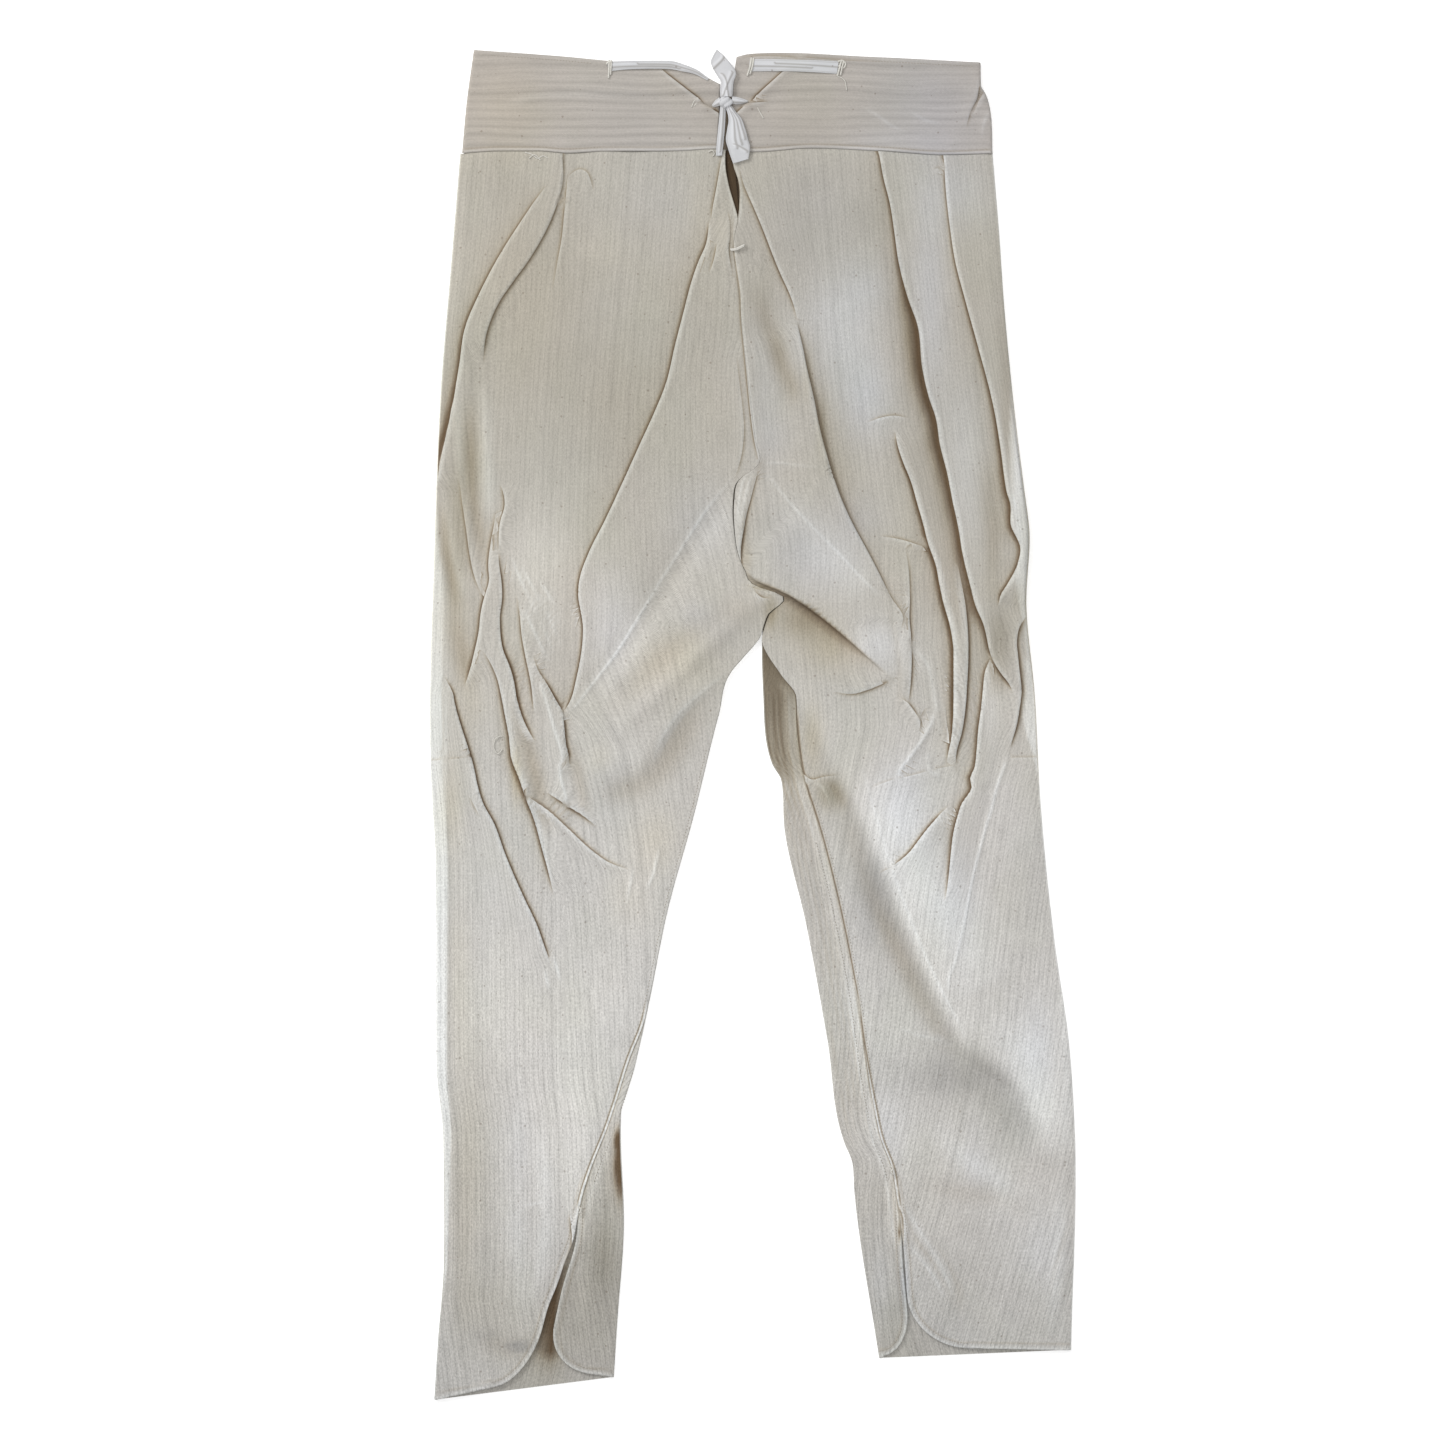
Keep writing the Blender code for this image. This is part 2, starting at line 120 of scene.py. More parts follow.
def soft_lamp(name, place, size, power):
    """A square lamp that faces the middle of the garment."""
    data = bpy.data.lights.new(name, "AREA")
    data.size = size
    data.energy = power
    lamp = placed(name, data)
    lamp.location = place
    lamp.rotation_euler = (Vector(VIEW_CENTRE) - Vector(place)).to_track_quat("-Z", "Y").to_euler()


floor_mesh = bpy.data.meshes.new("floor")
corners = [(FLOOR_HALF * x, FLOOR_HALF * y, 0) for x, y in ((-1, -1), (1, -1), (1, 1), (-1, 1))]
floor_mesh.from_pydata(corners, [], [(0, 1, 2, 3)])
floor_look = bpy.data.materials.new("floor paper")
floor_look.use_nodes = True
set_inputs(floor_look.node_tree.nodes["Principled BSDF"], {
    "Base Color": (0.99, 0.99, 0.99, 1), "Roughness": 0.95, "Emission Color": (1, 1, 1, 1),
    "Emission Strength": 0.25})
floor_mesh.materials.append(floor_look)
placed("floor", floor_mesh)

world = bpy.data.worlds.new("studio")
world.use_nodes = True
set_inputs(world.node_tree.nodes["Background"], {"Color": (1, 1, 1, 1), "Strength": WORLD_LIGHT})
bpy.context.scene.world = world
bpy.context.scene.view_settings.view_transform = "Standard"
for name, lamp in LAMPS.items():
    soft_lamp(name, *lamp)
print("lamps:", len(LAMPS))

# %% [markdown]
# The edges of the cut pieces are the same few rows of numbers that shape the solids. A cubic runs through
# the rows, with its slopes held back so that it never overshoots, and a corner of the vent is a quarter of
# an ellipse that starts in line with the edge before it.

# %% Edges of the garment
WAIST_SEAM = 83.0
CROTCH = 470.0
SEAM_LAP = 7.0
GAP = 0.3
CENTRE = [
    (83, -5.6), (90, -5), (96, -4.2), (104, -1.8), (112, -0.2), (120, 1), (128, 2), (135, 2.4), (148, 0),
    (160, -1.2), (168, -0.4), (186, 2), (239, 7.7), (313, 16.6), (331, 19.4),
    (345, 2.4), (360, -1), (389, 0), (416, 8), (429, 17.4), (435.6, 36.5), (452, 26.6), (470, 20.8),
]
FLY_HALF = [(80, 1.3), (84, 2), (90, 2.8), (96, 3.4), (104, 4.2), (112, 3.8), (120, 2.6), (128, 1.2),
            (135, 0.05), (340, 0.05), (350, 0.5), (372, 0.4), (400, 0.1), (435, 0.3), (470, 0.6)]
Side = namedtuple("Side", "name outward outer inseam corner inner flap flap_corner band_top band_back_top "
                  "band_side band_front")
RIGHT = Side(
    "right", -1,
    outer=[(83, -220), (168, -227), (278, -236), (405, -241), (568, -244), (657, -239.5), (812, -239),
           (871, -233.5), (969, -233), (1036, -238), (1080, -240.8)],
    inseam=[(485, 7.2), (497, -3), (532, -13.2), (614, -33.6), (688, -54), (761, -69.2), (777, -72.8),
            (806, -84), (842, -95.4), (862, -102.2), (894, -115), (914, -121.6), (930, -125.2), (954, -130),
            (972, -137), (988, -142.4), (1004, -149), (1024, -154.6)],
    corner=(1069.6, -195),
    inner=[(83, -0.02), (435, 24.18), (470, 19.4), (485, 7.5), (497, -2.7), (532, -12.9), (614, -33.3),
           (688, -53.7), (759, -68), (779, -72.2), (800, -77), (819, -81.6), (834, -86.4), (849, -91),
           (948, -89.1), (1015, -94), (1062, -97)],
    flap=[(870, -112), (911, -124), (956, -128), (990, -138), (1020, -144.6)],
    flap_corner=(1059.5, -111),
    band_top=[(-209, 0), (-140, 5), (-76, 10.6), (-49, 11.4), (-31, 17.8), (-12, 27.5)],
    band_back_top=[(-209, 0), (-140, 9), (-60, 22), (-0.15, 33)],
    band_side=[(0, -209), (41.5, -214.7), (82.7, -218.5)],
    band_front=[(27.5, -11.8), (52, -12.6), (82.7, -14.4)],
)
LEFT = Side(
    "left", 1,
    outer=[(83, 206.2), (143, 211.2), (201, 215.2), (291, 224), (354, 231.8), (382, 235.4), (443, 233.2),
           (515, 239.9), (601, 244.5), (716, 256.2), (793, 267.2), (863, 271.9), (1040.2, 269.1)],
    inseam=[(500, 37), (517, 49), (541, 50), (586, 56.6), (617, 66.4), (679, 82.4), (745, 95.8), (845, 111.2),
            (870, 116.6), (897, 126.4), (911, 128.6), (955, 134.6), (997, 137.8)],
    corner=(1038.6, 187),
    inner=[(83, 0.02), (435, 24.22), (470, 21.8), (515, 22.6), (571, 29.7), (584, 37), (622, 39.5),
           (698, 56.6), (791, 73.8), (876, 88.2), (889, 93.6), (913, 95.5), (1046.6, 115.4)],
    flap=[(870, 122), (911, 131), (970, 134.2), (1008, 137.8)],
    flap_corner=(1044.6, 117),
    band_top=[(0, 6), (12, 3.2), (113, 5.7), (196.6, 10)],
    band_back_top=[(0.15, 33), (60, 22), (113, 14), (196.6, 10)],
    band_side=[(10, 196.6), (28.6, 197), (34, 200), (51, 204.8), (82.7, 206.2)],
    band_front=[(6, 1.2), (14, 0), (34, -1.9), (82.7, -2.6)],
)


def smooth(table, at):
    """A cubic between the rows of a two-column table; its slopes come from the neighbours, limited."""
    x, y = np.array(table, float).T
    at = np.clip(np.asarray(at, float), x[0], x[-1])
    secant = np.diff(y) / np.diff(x)
    steepest = 3 * np.minimum(np.abs(np.r_[secant[:1], secant]), np.abs(np.r_[secant, secant[-1:]]))
    slope = np.clip(np.gradient(y, x), -steepest, steepest)
    i = np.clip(np.searchsorted(x, at) - 1, 0, len(x) - 2)
    width = x[i + 1] - x[i]
    t = (at - x[i]) / width
    return (
        (1 + 2 * t) * (1 - t) ** 2 * y[i]
        + t * (1 - t) ** 2 * width * slope[i]
        + t * t * (3 - 2 * t) * y[i + 1]
        + t * t * (t - 1) * width * slope[i + 1]
    )


def rounded(table, corner, down):
    """The smooth edge, and past its last row a quarter ellipse: across grows as one minus a square root."""
    (d0, a0), (d1, a1) = table[-2:]
    slope = (a1 - a0) / (d1 - d0)
    t = np.clip((down - d1) / (corner[0] - d1), 0, 1)
    reach = corner[1] - a1 - slope * (corner[0] - d1)
    past = a1 + slope * (down - d1) + reach * (1 - np.sqrt(1 - t * t))
    return np.where(down <= d1, smooth(table, down), past)


def front_edge(side, down):
    """Across at the free edge of the front: centre seam and fly, then the inseam and the vent's corner."""
    seam = [(d, a + side.outward * float(smooth(FLY_HALF, d))) for d, a in CENTRE]
    middle = smooth(CENTRE, down) + side.outward * smooth(FLY_HALF, down)
    return np.where(down <= CROTCH, middle, rounded(seam[-2:] + side.inseam, side.corner, down))


def flap_edge(side, down):
    """Across at the edge of the back where it is turned over to the front, a seam's lap past the inseam."""
    lap = side.outward * SEAM_LAP
    inside = [(d, a + lap) for d, a in side.inner if d <= CROTCH]
    inseam = [(d, a + lap) for d, a in side.inseam if d < side.flap[0][0]]
    return rounded(inside + inseam + side.flap, side.flap_corner, down)


for side in (RIGHT, LEFT):
    print(side.name, "leg across at the knee:", front_edge(side, np.array([700.0])).round(1))

# %% [markdown]
# The creases are what makes this garment look worn and folded, and each is its own size. A crease is a line
# with a high side: the cloth climbs a steep, slightly overhanging step there and sinks back over some
# centimetres (high side 1 or -1: the picture's right or left), or it is a gentle bank as wide as its spread
# (2 or -2), or a soft ridge or trough with no high side (0). Every line is a few points along the crease,
# each with how many millimetres the cloth rises there.

# %% Creases of the legs, as (x, y, rise)
Crease = namedtuple("Crease", "name panel high spread line edge shade", defaults=(1, 1))
BOTH = "right left"
CREASES = [
    Crease("right tuck, inner edge", BOTH, -1, 22, [
        (562, 148, 1.2), (563.5, 165, 1.4), (564, 176, 1.6), (560, 195, 1.8), (551, 222, 2), (541, 242, 2),
        (530, 260, 2), (512, 285, 2.2), (500, 303, 2.4), (492.5, 319, 2.6), (486, 341, 2.4), (484.5, 352, 1),
        (483, 362, 0.1)], 0.75, 0.3),
    Crease("right tuck, outer edge", BOTH, 1, 22, [
        (545, 187, 0.2), (535, 200, 1), (520, 222, 1.4), (502, 250, 1.6), (489, 273, 1.8), (478, 295, 2.2),
        (465, 325, 3), (457, 373, 4), (448, 421, 4.5), (440, 459, 4), (437, 480, 2)], 1, 1.8),
    Crease("right short tuck", BOTH, 1, 14, [
        (568, 180, 0.4), (567, 190, 1.2), (564, 215, 1.2), (561, 240, 1.2), (557, 262, 0.8),
        (553, 288, 0.1)]),
    Crease("left front tuck", BOTH, 1, 40, [
        (877, 148, 1.6), (882, 176, 2), (889, 204, 2.2), (893.5, 233.5, 2.4), (897, 260, 3), (907, 300, 5),
        (916, 325.5, 6.5), (921, 370, 8), (928, 400, 8), (934, 417, 7.5), (938.6, 446, 7), (945.6, 473, 6.5),
        (951, 501, 6), (957, 529, 6), (961, 554, 6), (969, 586, 5.5), (975, 608, 5), (982.4, 625.5, 4),
        (986.3, 642, 3), (989, 654, 2.5), (1000, 674, 2.4), (1009.5, 686, 1.4), (1012, 691, 0.1)], 1, 1.7),
    Crease("left side tuck", BOTH, 1, 22, [
        (943, 152, 1.4), (945, 190, 1.6), (950, 233.5, 1.6), (954, 260, 1.8), (964, 300, 2.2),
        (977, 348, 2.8), (990.5, 400, 3.5), (995.4, 425, 4), (1000, 456, 4.5), (1004.5, 490, 5),
        (1008.7, 507, 5), (1009, 525, 4.5), (1014, 536, 4.5), (1018.6, 546, 4), (1017, 561, 3.5),
        (1007, 582, 2.5), (999, 596, 2), (998, 605, 0.2)], 1, 1.5),
    Crease("centre fold, right line", BOTH, 1, 60, [
        (708.5, 222, 0.2), (707.5, 232, 1.6), (705, 244, 2.6), (700, 255, 3.4), (690, 283, 3.6),
        (683, 310, 3.6), (674, 345, 3.6), (665, 383, 3.6), (652, 415, 3.6), (639, 443.5, 3.6),
        (623, 479, 3.4), (604, 520, 3.2), (588, 552, 3), (579, 577, 2.8), (577, 593, 2.6), (579, 608, 2.4),
        (582, 625, 2.2), (581, 647, 2.4), (575.5, 678, 2.6), (570, 700, 2.4), (564, 714, 1)], 1, 0.6),
    Crease("fly fold, left", BOTH, 1, 26, [
        (740, 172, 0.2), (743, 184, 0.9), (748, 196, 1.3), (757, 217, 1.6), (765, 237, 1.8), (773, 258, 1.8),
        (781, 277, 1.8), (788, 292, 1.6), (793, 305, 1.2), (797, 320, 0.1)], 1, 1.4),
    Crease("centre fold, left line", BOTH, -1, 50, [
        (797, 322, 0.2), (800, 332, 1.8), (804, 348, 2.8), (808, 368, 3.6), (812, 385, 4.2), (816, 403, 4.6),
        (820, 424, 4.8), (826, 448, 4.8), (832.5, 470, 4.8), (841, 495, 4.4), (852, 520, 3.6),
        (868.6, 551, 2.8), (881, 575.5, 2.2), (891, 596, 1.8), (904, 620, 1.4), (901, 628, 0.1)], 0.6, 0.9),
    Crease("left thigh flap", "left", 1, 60, [
        (744, 573, 2.88), (752, 580, 3.6), (769, 588, 5.04), (781, 593, 5.76), (798, 603, 6.48),
        (819, 618, 6.84), (840, 635, 6.48), (865, 657, 4.32), (880, 670, 1.73), (892, 681, 0.07)], 0, 1.15),
    Crease("gusset edge", "left", -1, 14, [
        (760.5, 463, 0.7), (757.5, 475, 0.9), (754, 488, 1), (750.5, 502, 1.2), (747, 515, 1.5),
        (744.5, 530, 2), (742, 545, 2.2), (741, 556, 1.8), (742, 570, 0.4)], 1, 2.2),
    Crease("gusset ridge, first", "left", 0, 1.5, [
        (748, 470, 0.1), (743, 482, 0.8), (739.5, 500, 0.9), (738, 515, 0.8), (738, 528, 0.1)]),
    Crease("gusset ridge, second", "left", 0, 1.5, [
        (754, 470, 0.1), (748.5, 484, 0.7), (744.5, 500, 0.8), (741.5, 516, 0.7), (740, 530, 0.1)]),
    Crease("crotch tip fold", "right", -1, 5, [
        (750, 580, 0.1), (753, 587, 0.9), (757.5, 594, 1.2), (764, 597.5, 0.9), (772, 598, 0.1)]),
    Crease("crotch tip ridge", "right", 0, 1.4, [
        (758, 587.5, 0.1), (765, 590, 0.7), (773, 593.5, 0.6), (779, 595, 0.1)]),
    Crease("crotch sag", "left", 0, 5, [
        (779, 597, -0.2), (771, 610, -1), (766, 622, -1.2), (762, 636, -0.4)]),
    Crease("right upper thigh", BOTH, 1, 10, [
        (500.6, 486, 0.1), (503, 494, 1.4), (504, 506, 1.6), (499.5, 521, 1.6), (498, 540, 1.2),
        (498.5, 552, 0.2)]),
    Crease("right outer thigh", BOTH, -1, 16, [
        (498.5, 550, 0.18), (499.5, 563, 0.96), (502.5, 583, 1.56), (503, 597, 1.56), (500.6, 617, 1.44),
        (501, 630, 1.8), (504, 649.5, 2.1), (510, 664, 2.4), (514.6, 679, 2.4), (518, 699, 2.4),
        (522.7, 715, 2.04), (529.6, 731, 1.32), (535, 741, 0.06)], 1.2, 1.8),
    Crease("right side thigh", BOTH, 1, 14, [
        (495, 511, 0.1), (491.7, 529, 1.2), (489, 548, 1.6), (487.6, 567.6, 1.8), (488.5, 580, 1.8),
        (483.4, 597, 2.2), (479.5, 615, 2.6), (478, 630, 3), (474.4, 647, 3.2), (471, 662, 3),
        (464.7, 685, 0.2)]),
    Crease("right side groove", BOTH, 1, 12, [
        (459, 480, 0.1), (462, 505, 1), (465.5, 529, 1.2), (469, 555, 1.4), (473, 574, 1.2),
        (479.5, 593, 0.1)]),
    Crease("right shin", BOTH, -1, 16, [
        (446, 679, 0.3), (452.6, 690, 1.8), (457, 708, 2.4), (463, 727.6, 3), (468.7, 745, 3),
        (474.4, 764, 2.8), (479, 786, 2.8), (484, 802, 2.8), (495, 822.5, 2.8), (506, 853, 2.6),
        (516.8, 879, 2.6), (525.4, 898, 2.6), (538, 925, 2.4), (545, 945, 2.2), (552, 966, 0.3)], 1, 0.8),
    Crease("right knee", BOTH, 1, 18, [
        (483.6, 652, 0.1), (489.4, 662, 1), (496.3, 678, 1.6), (501, 699, 2.2), (504.3, 717, 2.6),
        (507.7, 735.6, 3), (510.6, 760, 4), (518, 779, 4.5), (525, 800, 4), (533, 820, 3), (540, 845, 2.4),
        (547, 870, 2), (553, 893, 0.1)], 1, 1.6),
    Crease("right middle thigh", BOTH, 1, 10, [
        (517, 596, 0.07), (519, 612, 0.84), (521.6, 639, 1.26), (526, 662, 1.4), (530.7, 685, 1.4),
        (532.5, 700, 1), (534, 712, 0.05)], 1.2, 1.3),
    Crease("right inner thigh", BOTH, -1, 12, [
        (533, 655, 0.1), (538.7, 670, 1.2), (548, 684, 2), (556, 698, 2.6), (564, 714, 3), (565.7, 727.6, 3),
        (567.4, 745, 2.8), (569.7, 755, 2.4), (569.2, 765.5, 0.3)]),
    Crease("right inner ridge", BOTH, 0, 1.8, [
        (540, 679, 0.1), (543, 690, 1.5), (549, 710, 2.1), (555, 731, 2.4), (560.5, 747, 2.4),
        (562.8, 756, 2.4), (560, 765, 2.4), (560.5, 776, 1.8), (565, 793, 1.5), (567.4, 806, 0.1)]),
    Crease("right knee hook", BOTH, 1, 5, [
        (566, 757, 0.1), (565.7, 762, 1.4), (564, 766, 1.4), (561, 768.5, 0.1)]),
    Crease("right knee ridge", BOTH, -1, 5, [
        (525.4, 794.3, 0.1), (535, 800.5, 1), (547, 808.5, 1.6), (568.8, 828, 1.8), (592.7, 850, 1.7),
        (608, 861, 1.4), (627.4, 869, 0.2)], 0.9, 1),
    Crease("right knee nick", BOTH, 1, 8, [
        (549, 794, 0.4), (559, 801, 1.8), (569, 808, 2), (582, 816, 1.8), (595, 825.7, 0.2)], 1, 1.4),
    Crease("left outer thigh", BOTH, 1, 22, [
        (895, 432, 0.1), (897, 446, 1.6), (902, 462, 2.2), (910.5, 484, 3), (916, 504, 3.6),
        (921.7, 523.5, 4), (927, 544.5, 4.5), (934.4, 565.6, 5), (938.6, 588, 5), (943, 607, 5),
        (947, 620, 5), (950.6, 637, 5), (952, 651, 5), (952, 676.5, 5), (952, 702, 5), (951, 727.6, 4.2),
        (949.5, 742, 2.4), (947.5, 754, 1), (946, 763, 0.1)], 1.2, 1.4),
    Crease("left outer thigh, far side", BOTH, -1, 10, [
        (955.4, 561, 0.05), (959.6, 580, 0.5), (964.5, 603, 1.3), (968.4, 632, 1.9), (969, 657, 2.2),
        (967.8, 683, 2.2), (966, 708, 2.2), (962, 734, 2), (957, 753, 1.8), (956, 771, 0.1)]),
    Crease("left middle thigh", BOTH, -1, 9, [
        (906, 550, 0.1), (909, 568, 0.8), (910.5, 596, 1.2), (911, 625, 1.6), (912.5, 651, 1.8),
        (912, 676.5, 1.8), (909.7, 701, 0.6)]),
    Crease("left middle nick", BOTH, -1, 7, [
        (895, 694.4, 0.1), (902, 698, 0.9), (909, 702.5, 1.4), (915, 711, 1.5), (920, 718, 1.6),
        (921.6, 722, 1.4), (919, 731, 0.1)]),
    Crease("left middle nick, branch", BOTH, 1, 5, [(921, 719, 0.4), (923, 713, 0.8), (926, 707.6, 0.1)]),
    Crease("left flap nick", BOTH, 1, 10, [
        (834, 692, 0.1), (851, 694.6, 1), (869.6, 690, 1.3), (883.6, 684, 1.3), (893, 679, 0.9),
        (902.4, 674.7, 0.1)]),
    Crease("left knee", BOTH, 1, 16, [
        (989, 656, 0.4), (984.4, 669, 1.6), (982, 689, 2.2), (980, 708, 2.6), (977, 730, 2.8),
        (975, 753, 3.2), (973, 768, 3.4), (968.5, 778, 3.8), (970.5, 787, 3.8), (966, 795, 3.6),
        (961, 802, 3.4), (956.5, 815, 3.2), (952, 833, 3.2), (950, 850, 2.8), (948.5, 868, 2.2),
        (946.5, 888, 1.2), (945, 900, 0.1)], 1, 1.7),
    Crease("left knee, branch", BOTH, 1, 12, [
        (947.5, 806, 0.05), (940, 813, 1), (934, 819.5, 2.2), (928, 826, 2.6), (918, 839, 2.4),
        (907, 853, 2.2), (895, 863, 1.4), (880, 873, 0.1)], 1, 1),
    Crease("left knee hook", "left", 0, 1.3, [
        (928, 752, 0.1), (929, 764, 0.9), (932, 771, 1), (938, 774, 1), (939, 780, 0.1)]),
    Crease("left hip roll", "left", 0, 4, [
        (1007, 592, 0.2), (1013, 579, 1.6), (1020, 576, 1.8), (1026, 586, 1.4), (1029, 604, 0.2)]),
    Crease("left shin", BOTH, -1, 14, [
        (1026, 616, 0.4), (1019.4, 629, 1.8), (1017.5, 642, 2), (1018.8, 656, 2.2), (1020.7, 674, 2.6),
        (1022.6, 689, 3), (1020.7, 708, 3), (1017, 727.6, 2.4), (1013, 740, 1.4), (1008, 755, 0.2)]),
    Crease("left shin ridge", BOTH, 0, 1.2, [
        (1010.5, 746, 0.48), (1004.5, 765, 0.86), (997.5, 785, 1.06), (991, 810, 1.15), (985, 830, 1.15),
        (977, 860, 1.15), (970, 890, 1.06), (966, 915, 1.06), (961.5, 935, 0.96), (955.5, 960, 0.86),
        (948.5, 980, 0.77), (948, 990, 0.19)]),
    Crease("left knee ridge", BOTH, 0, 1.5, [
        (935, 711, 0.1), (934, 717, 1.4), (924, 736.5, 1.8), (911, 755.6, 1.8), (901, 768.4, 1.7),
        (895.7, 780, 0.1)]),
    Crease("left knee hook", BOTH, 0, 1.5, [
        (927.6, 760.7, 0.1), (929.5, 771, 1.2), (937.8, 776.7, 1.2), (940, 779.5, 0.1)]),
    Crease("left upper nick", BOTH, -1, 5, [
        (868, 422, 0.1), (881, 417, 0.9), (895, 415, 0.9), (907, 417.5, 0.1)]),
    Crease("left thigh nick", BOTH, -1, 5, [
        (881.7, 536, 0.1), (896.5, 538, 0.9), (910.5, 541.7, 0.9), (922, 547, 0.2)]),
    Crease("fly pucker, right", BOTH, 1, 5, [
        (716.5, 244, 0.1), (715, 252, 1.2), (713, 261, 1.2), (709.5, 272, 0.2)]),
    Crease("fly pucker, left", BOTH, -1, 6, [
        (727.5, 212, 0.1), (730, 224, 1), (730, 236, 1.3), (728.5, 250, 1.4), (730, 262, 0.9),
        (732, 274, 0.1)]),
    Crease("fly seam", BOTH, 1, 9, [
        (734, 216, 0.2), (733, 235, 0.9), (734.5, 255, 1), (737, 272, 1), (740, 292, 1), (741, 320, 1.1),
        (744, 350, 1.1), (747, 380, 1.2), (750, 410, 1.3), (754, 440, 1.2), (758, 460, 0.4)], 1, 0.8),
    Crease("fly seam, second", BOTH, -1, 5, [
        (736, 358, 0.1), (739, 380, 0.5), (742, 405, 0.6), (744, 430, 0.7), (742, 455, 0.8), (738, 470, 0.5),
        (734, 482, 0.1)]),
    Crease("right thigh crest", BOTH, 0, 1.4, [
        (565, 713, 0.15), (572, 709, 0.45), (584.7, 694, 0.75), (598, 677, 0.9), (610, 662, 0.98),
        (636, 622, 0.98), (655, 590, 0.9), (681, 549, 0.83), (706, 510.5, 0.6), (735, 475, 0.08)]),
    Crease("right thigh bank", BOTH, -2, 18, [
        (572, 716, 0.3), (600, 684, 1.4), (640, 630, 1.8), (684, 562, 1.8), (708, 524, 1.4),
        (740, 484, 0.2)]),
    Crease("left thigh crest", BOTH, 0, 1.6, [
        (765, 470, 0.09), (772, 480, 0.72), (790, 503, 0.9), (815, 530, 0.9), (840, 555, 1.08),
        (860, 577, 1.08), (872, 589, 0.72), (880, 597, 0.09)]),
    Crease("left thigh swell", BOTH, 0, 16, [
        (765, 474, 0.2), (790, 508, 0.8), (840, 562, 1.1), (862, 586, 0.9), (872, 597, 0.2)]),
    Crease("seat crease", BOTH, 0, 2.2, [(757, 466, 0.1), (775, 463, 0.4), (800, 466, 0.5), (824, 467, 0.1)]),
    Crease("bank beside the left inseam", "left", 2, 15, [
        (797, 693, 0.4), (808, 715, 0.9), (822, 745, 1), (836, 772, 1.1), (852, 802, 1.6), (869, 842, 2.4),
        (887, 885, 2.8), (902, 925, 3), (922, 972, 3), (939, 1005, 2.6), (957, 1040, 1.8), (968, 1058, 0.3)]),
    Crease("trough beside the left inseam", "left", 0, 8, [
        (845, 800, -0.2), (860, 860, -0.8), (878, 910, -1.3), (900, 955, -1.4), (922, 1000, -1.1),
        (942, 1035, -0.7), (955, 1055, -0.1)]),
    Crease("ridge beside the left inseam", "left", 0, 3, [
        (862, 768, 0.1), (876, 815, 0.5), (889, 860, 0.6), (905, 905, 0.7), (925, 955, 0.7), (944, 995, 0.6),
        (965, 1035, 0.1)]),
    Crease("left knee swell", "left", 0, 26, [
        (880, 780, 0.4), (900, 830, 1.6), (925, 880, 1.8), (955, 930, 1.4), (985, 980, 0.6)]),
    Crease("left calf bank", "left", 2, 22, [
        (960, 1045, 0.4), (985, 1062, 1.6), (1010, 1085, 2.2), (1030, 1115, 2.4), (1044, 1150, 1.2),
        (1050, 1170, 0.2)]),
    Crease("left calf streak", "left", -2, 8, [
        (950, 1045, 0.3), (975, 1066, 0.8), (1000, 1082, 1), (1022, 1098, 0.8), (1040, 1110, 0.2)]),
    Crease("left calf swell", "left", 0, 20, [
        (1000, 1020, 0.3), (1022, 1060, 1.4), (1038, 1110, 1.4), (1044, 1150, 0.4)]),
    Crease("left ankle, first", "left", 0, 2.6, [
        (897, 1194, 0.1), (910, 1215, 0.6), (920, 1231, 0.7), (930, 1247, 0.6), (943, 1270, 0.7),
        (956, 1302, 0.1)]),
    Crease("left ankle, second", "left", 0, 2.6, [
        (907, 1243, 0.1), (920, 1258, 0.6), (934, 1277, 0.7), (945, 1299, 0.1)]),
    Crease("left ankle shade", "left", 0, 6, [
        (905, 1205, -0.3), (922, 1240, -1), (938, 1262, -1.2), (955, 1288, -0.8), (962, 1310, -0.2)]),
    Crease("left ankle groove", "left", 0, 1.8, [
        (1070, 1222, -0.1), (1062, 1245, -0.7), (1055, 1268, -0.5), (1049, 1300, -0.1)]),
    Crease("left vent ruffle", "left", 1, 4, [
        (894.7, 1190, 0.3), (898, 1204, 1), (903, 1218, 1.2), (903.5, 1234, 0.9), (904, 1250, 0.2)]),
    Crease("right vent ruffle", "right", 1, 4, [
        (569.5, 1212, 0.2), (570, 1222, 1.2), (571.5, 1233, 1.4), (572, 1243, 1.2), (567, 1256, 0.5),
        (562, 1270, 0.1)]),
    Crease("left calf crease", "left", 0, 1.6, [
        (893, 1027, 0.05), (915, 1034, 0.35), (938, 1040, 0.35), (960, 1048, 0.05)]),
    Crease("right knee shade", "right", 0, 12, [
        (700, 700, -0.2), (688, 726, -1), (672, 752, -1.3), (655, 775, -1.2), (625, 790, -1.3),
        (606, 795, -0.8), (596, 800, -0.2)]),
    Crease("right knee bank", "right", -2, 14, [
        (722, 672, 0.3), (700, 692, 1.2), (680, 712, 1.6), (664, 735, 1.6), (648, 762, 1), (640, 780, 0.2)]),
    Crease("right knee glint", "right", 0, 2.4, [
        (728, 671, 0.1), (708, 687, 0.5), (687, 705, 0.6), (672, 722, 0.6), (661, 740, 0.5),
        (652, 765, 0.1)]),
    Crease("right calf glints", "right", 0, 1.8, [
        (660, 845, 0.1), (656, 862, 0.9), (652, 878, 0.9), (646, 890, 0.1)]),
    Crease("right calf glint, second", "right", 0, 1.8, [(634, 866, 0.1), (630, 885, 0.8), (626, 905, 0.1)]),
    Crease("right thigh hollow", "right", 0, 13, [
        (765, 608, -0.2), (735, 612, -0.8), (705, 626, -1), (665, 655, -1), (630, 690, -0.8),
        (600, 715, -0.2)]),
    Crease("right thigh ridge", "right", -2, 16, [
        (778, 598, 0.3), (755, 608, 1), (725, 634, 1.4), (690, 668, 1.6), (650, 706, 1.4), (615, 735, 0.3)]),
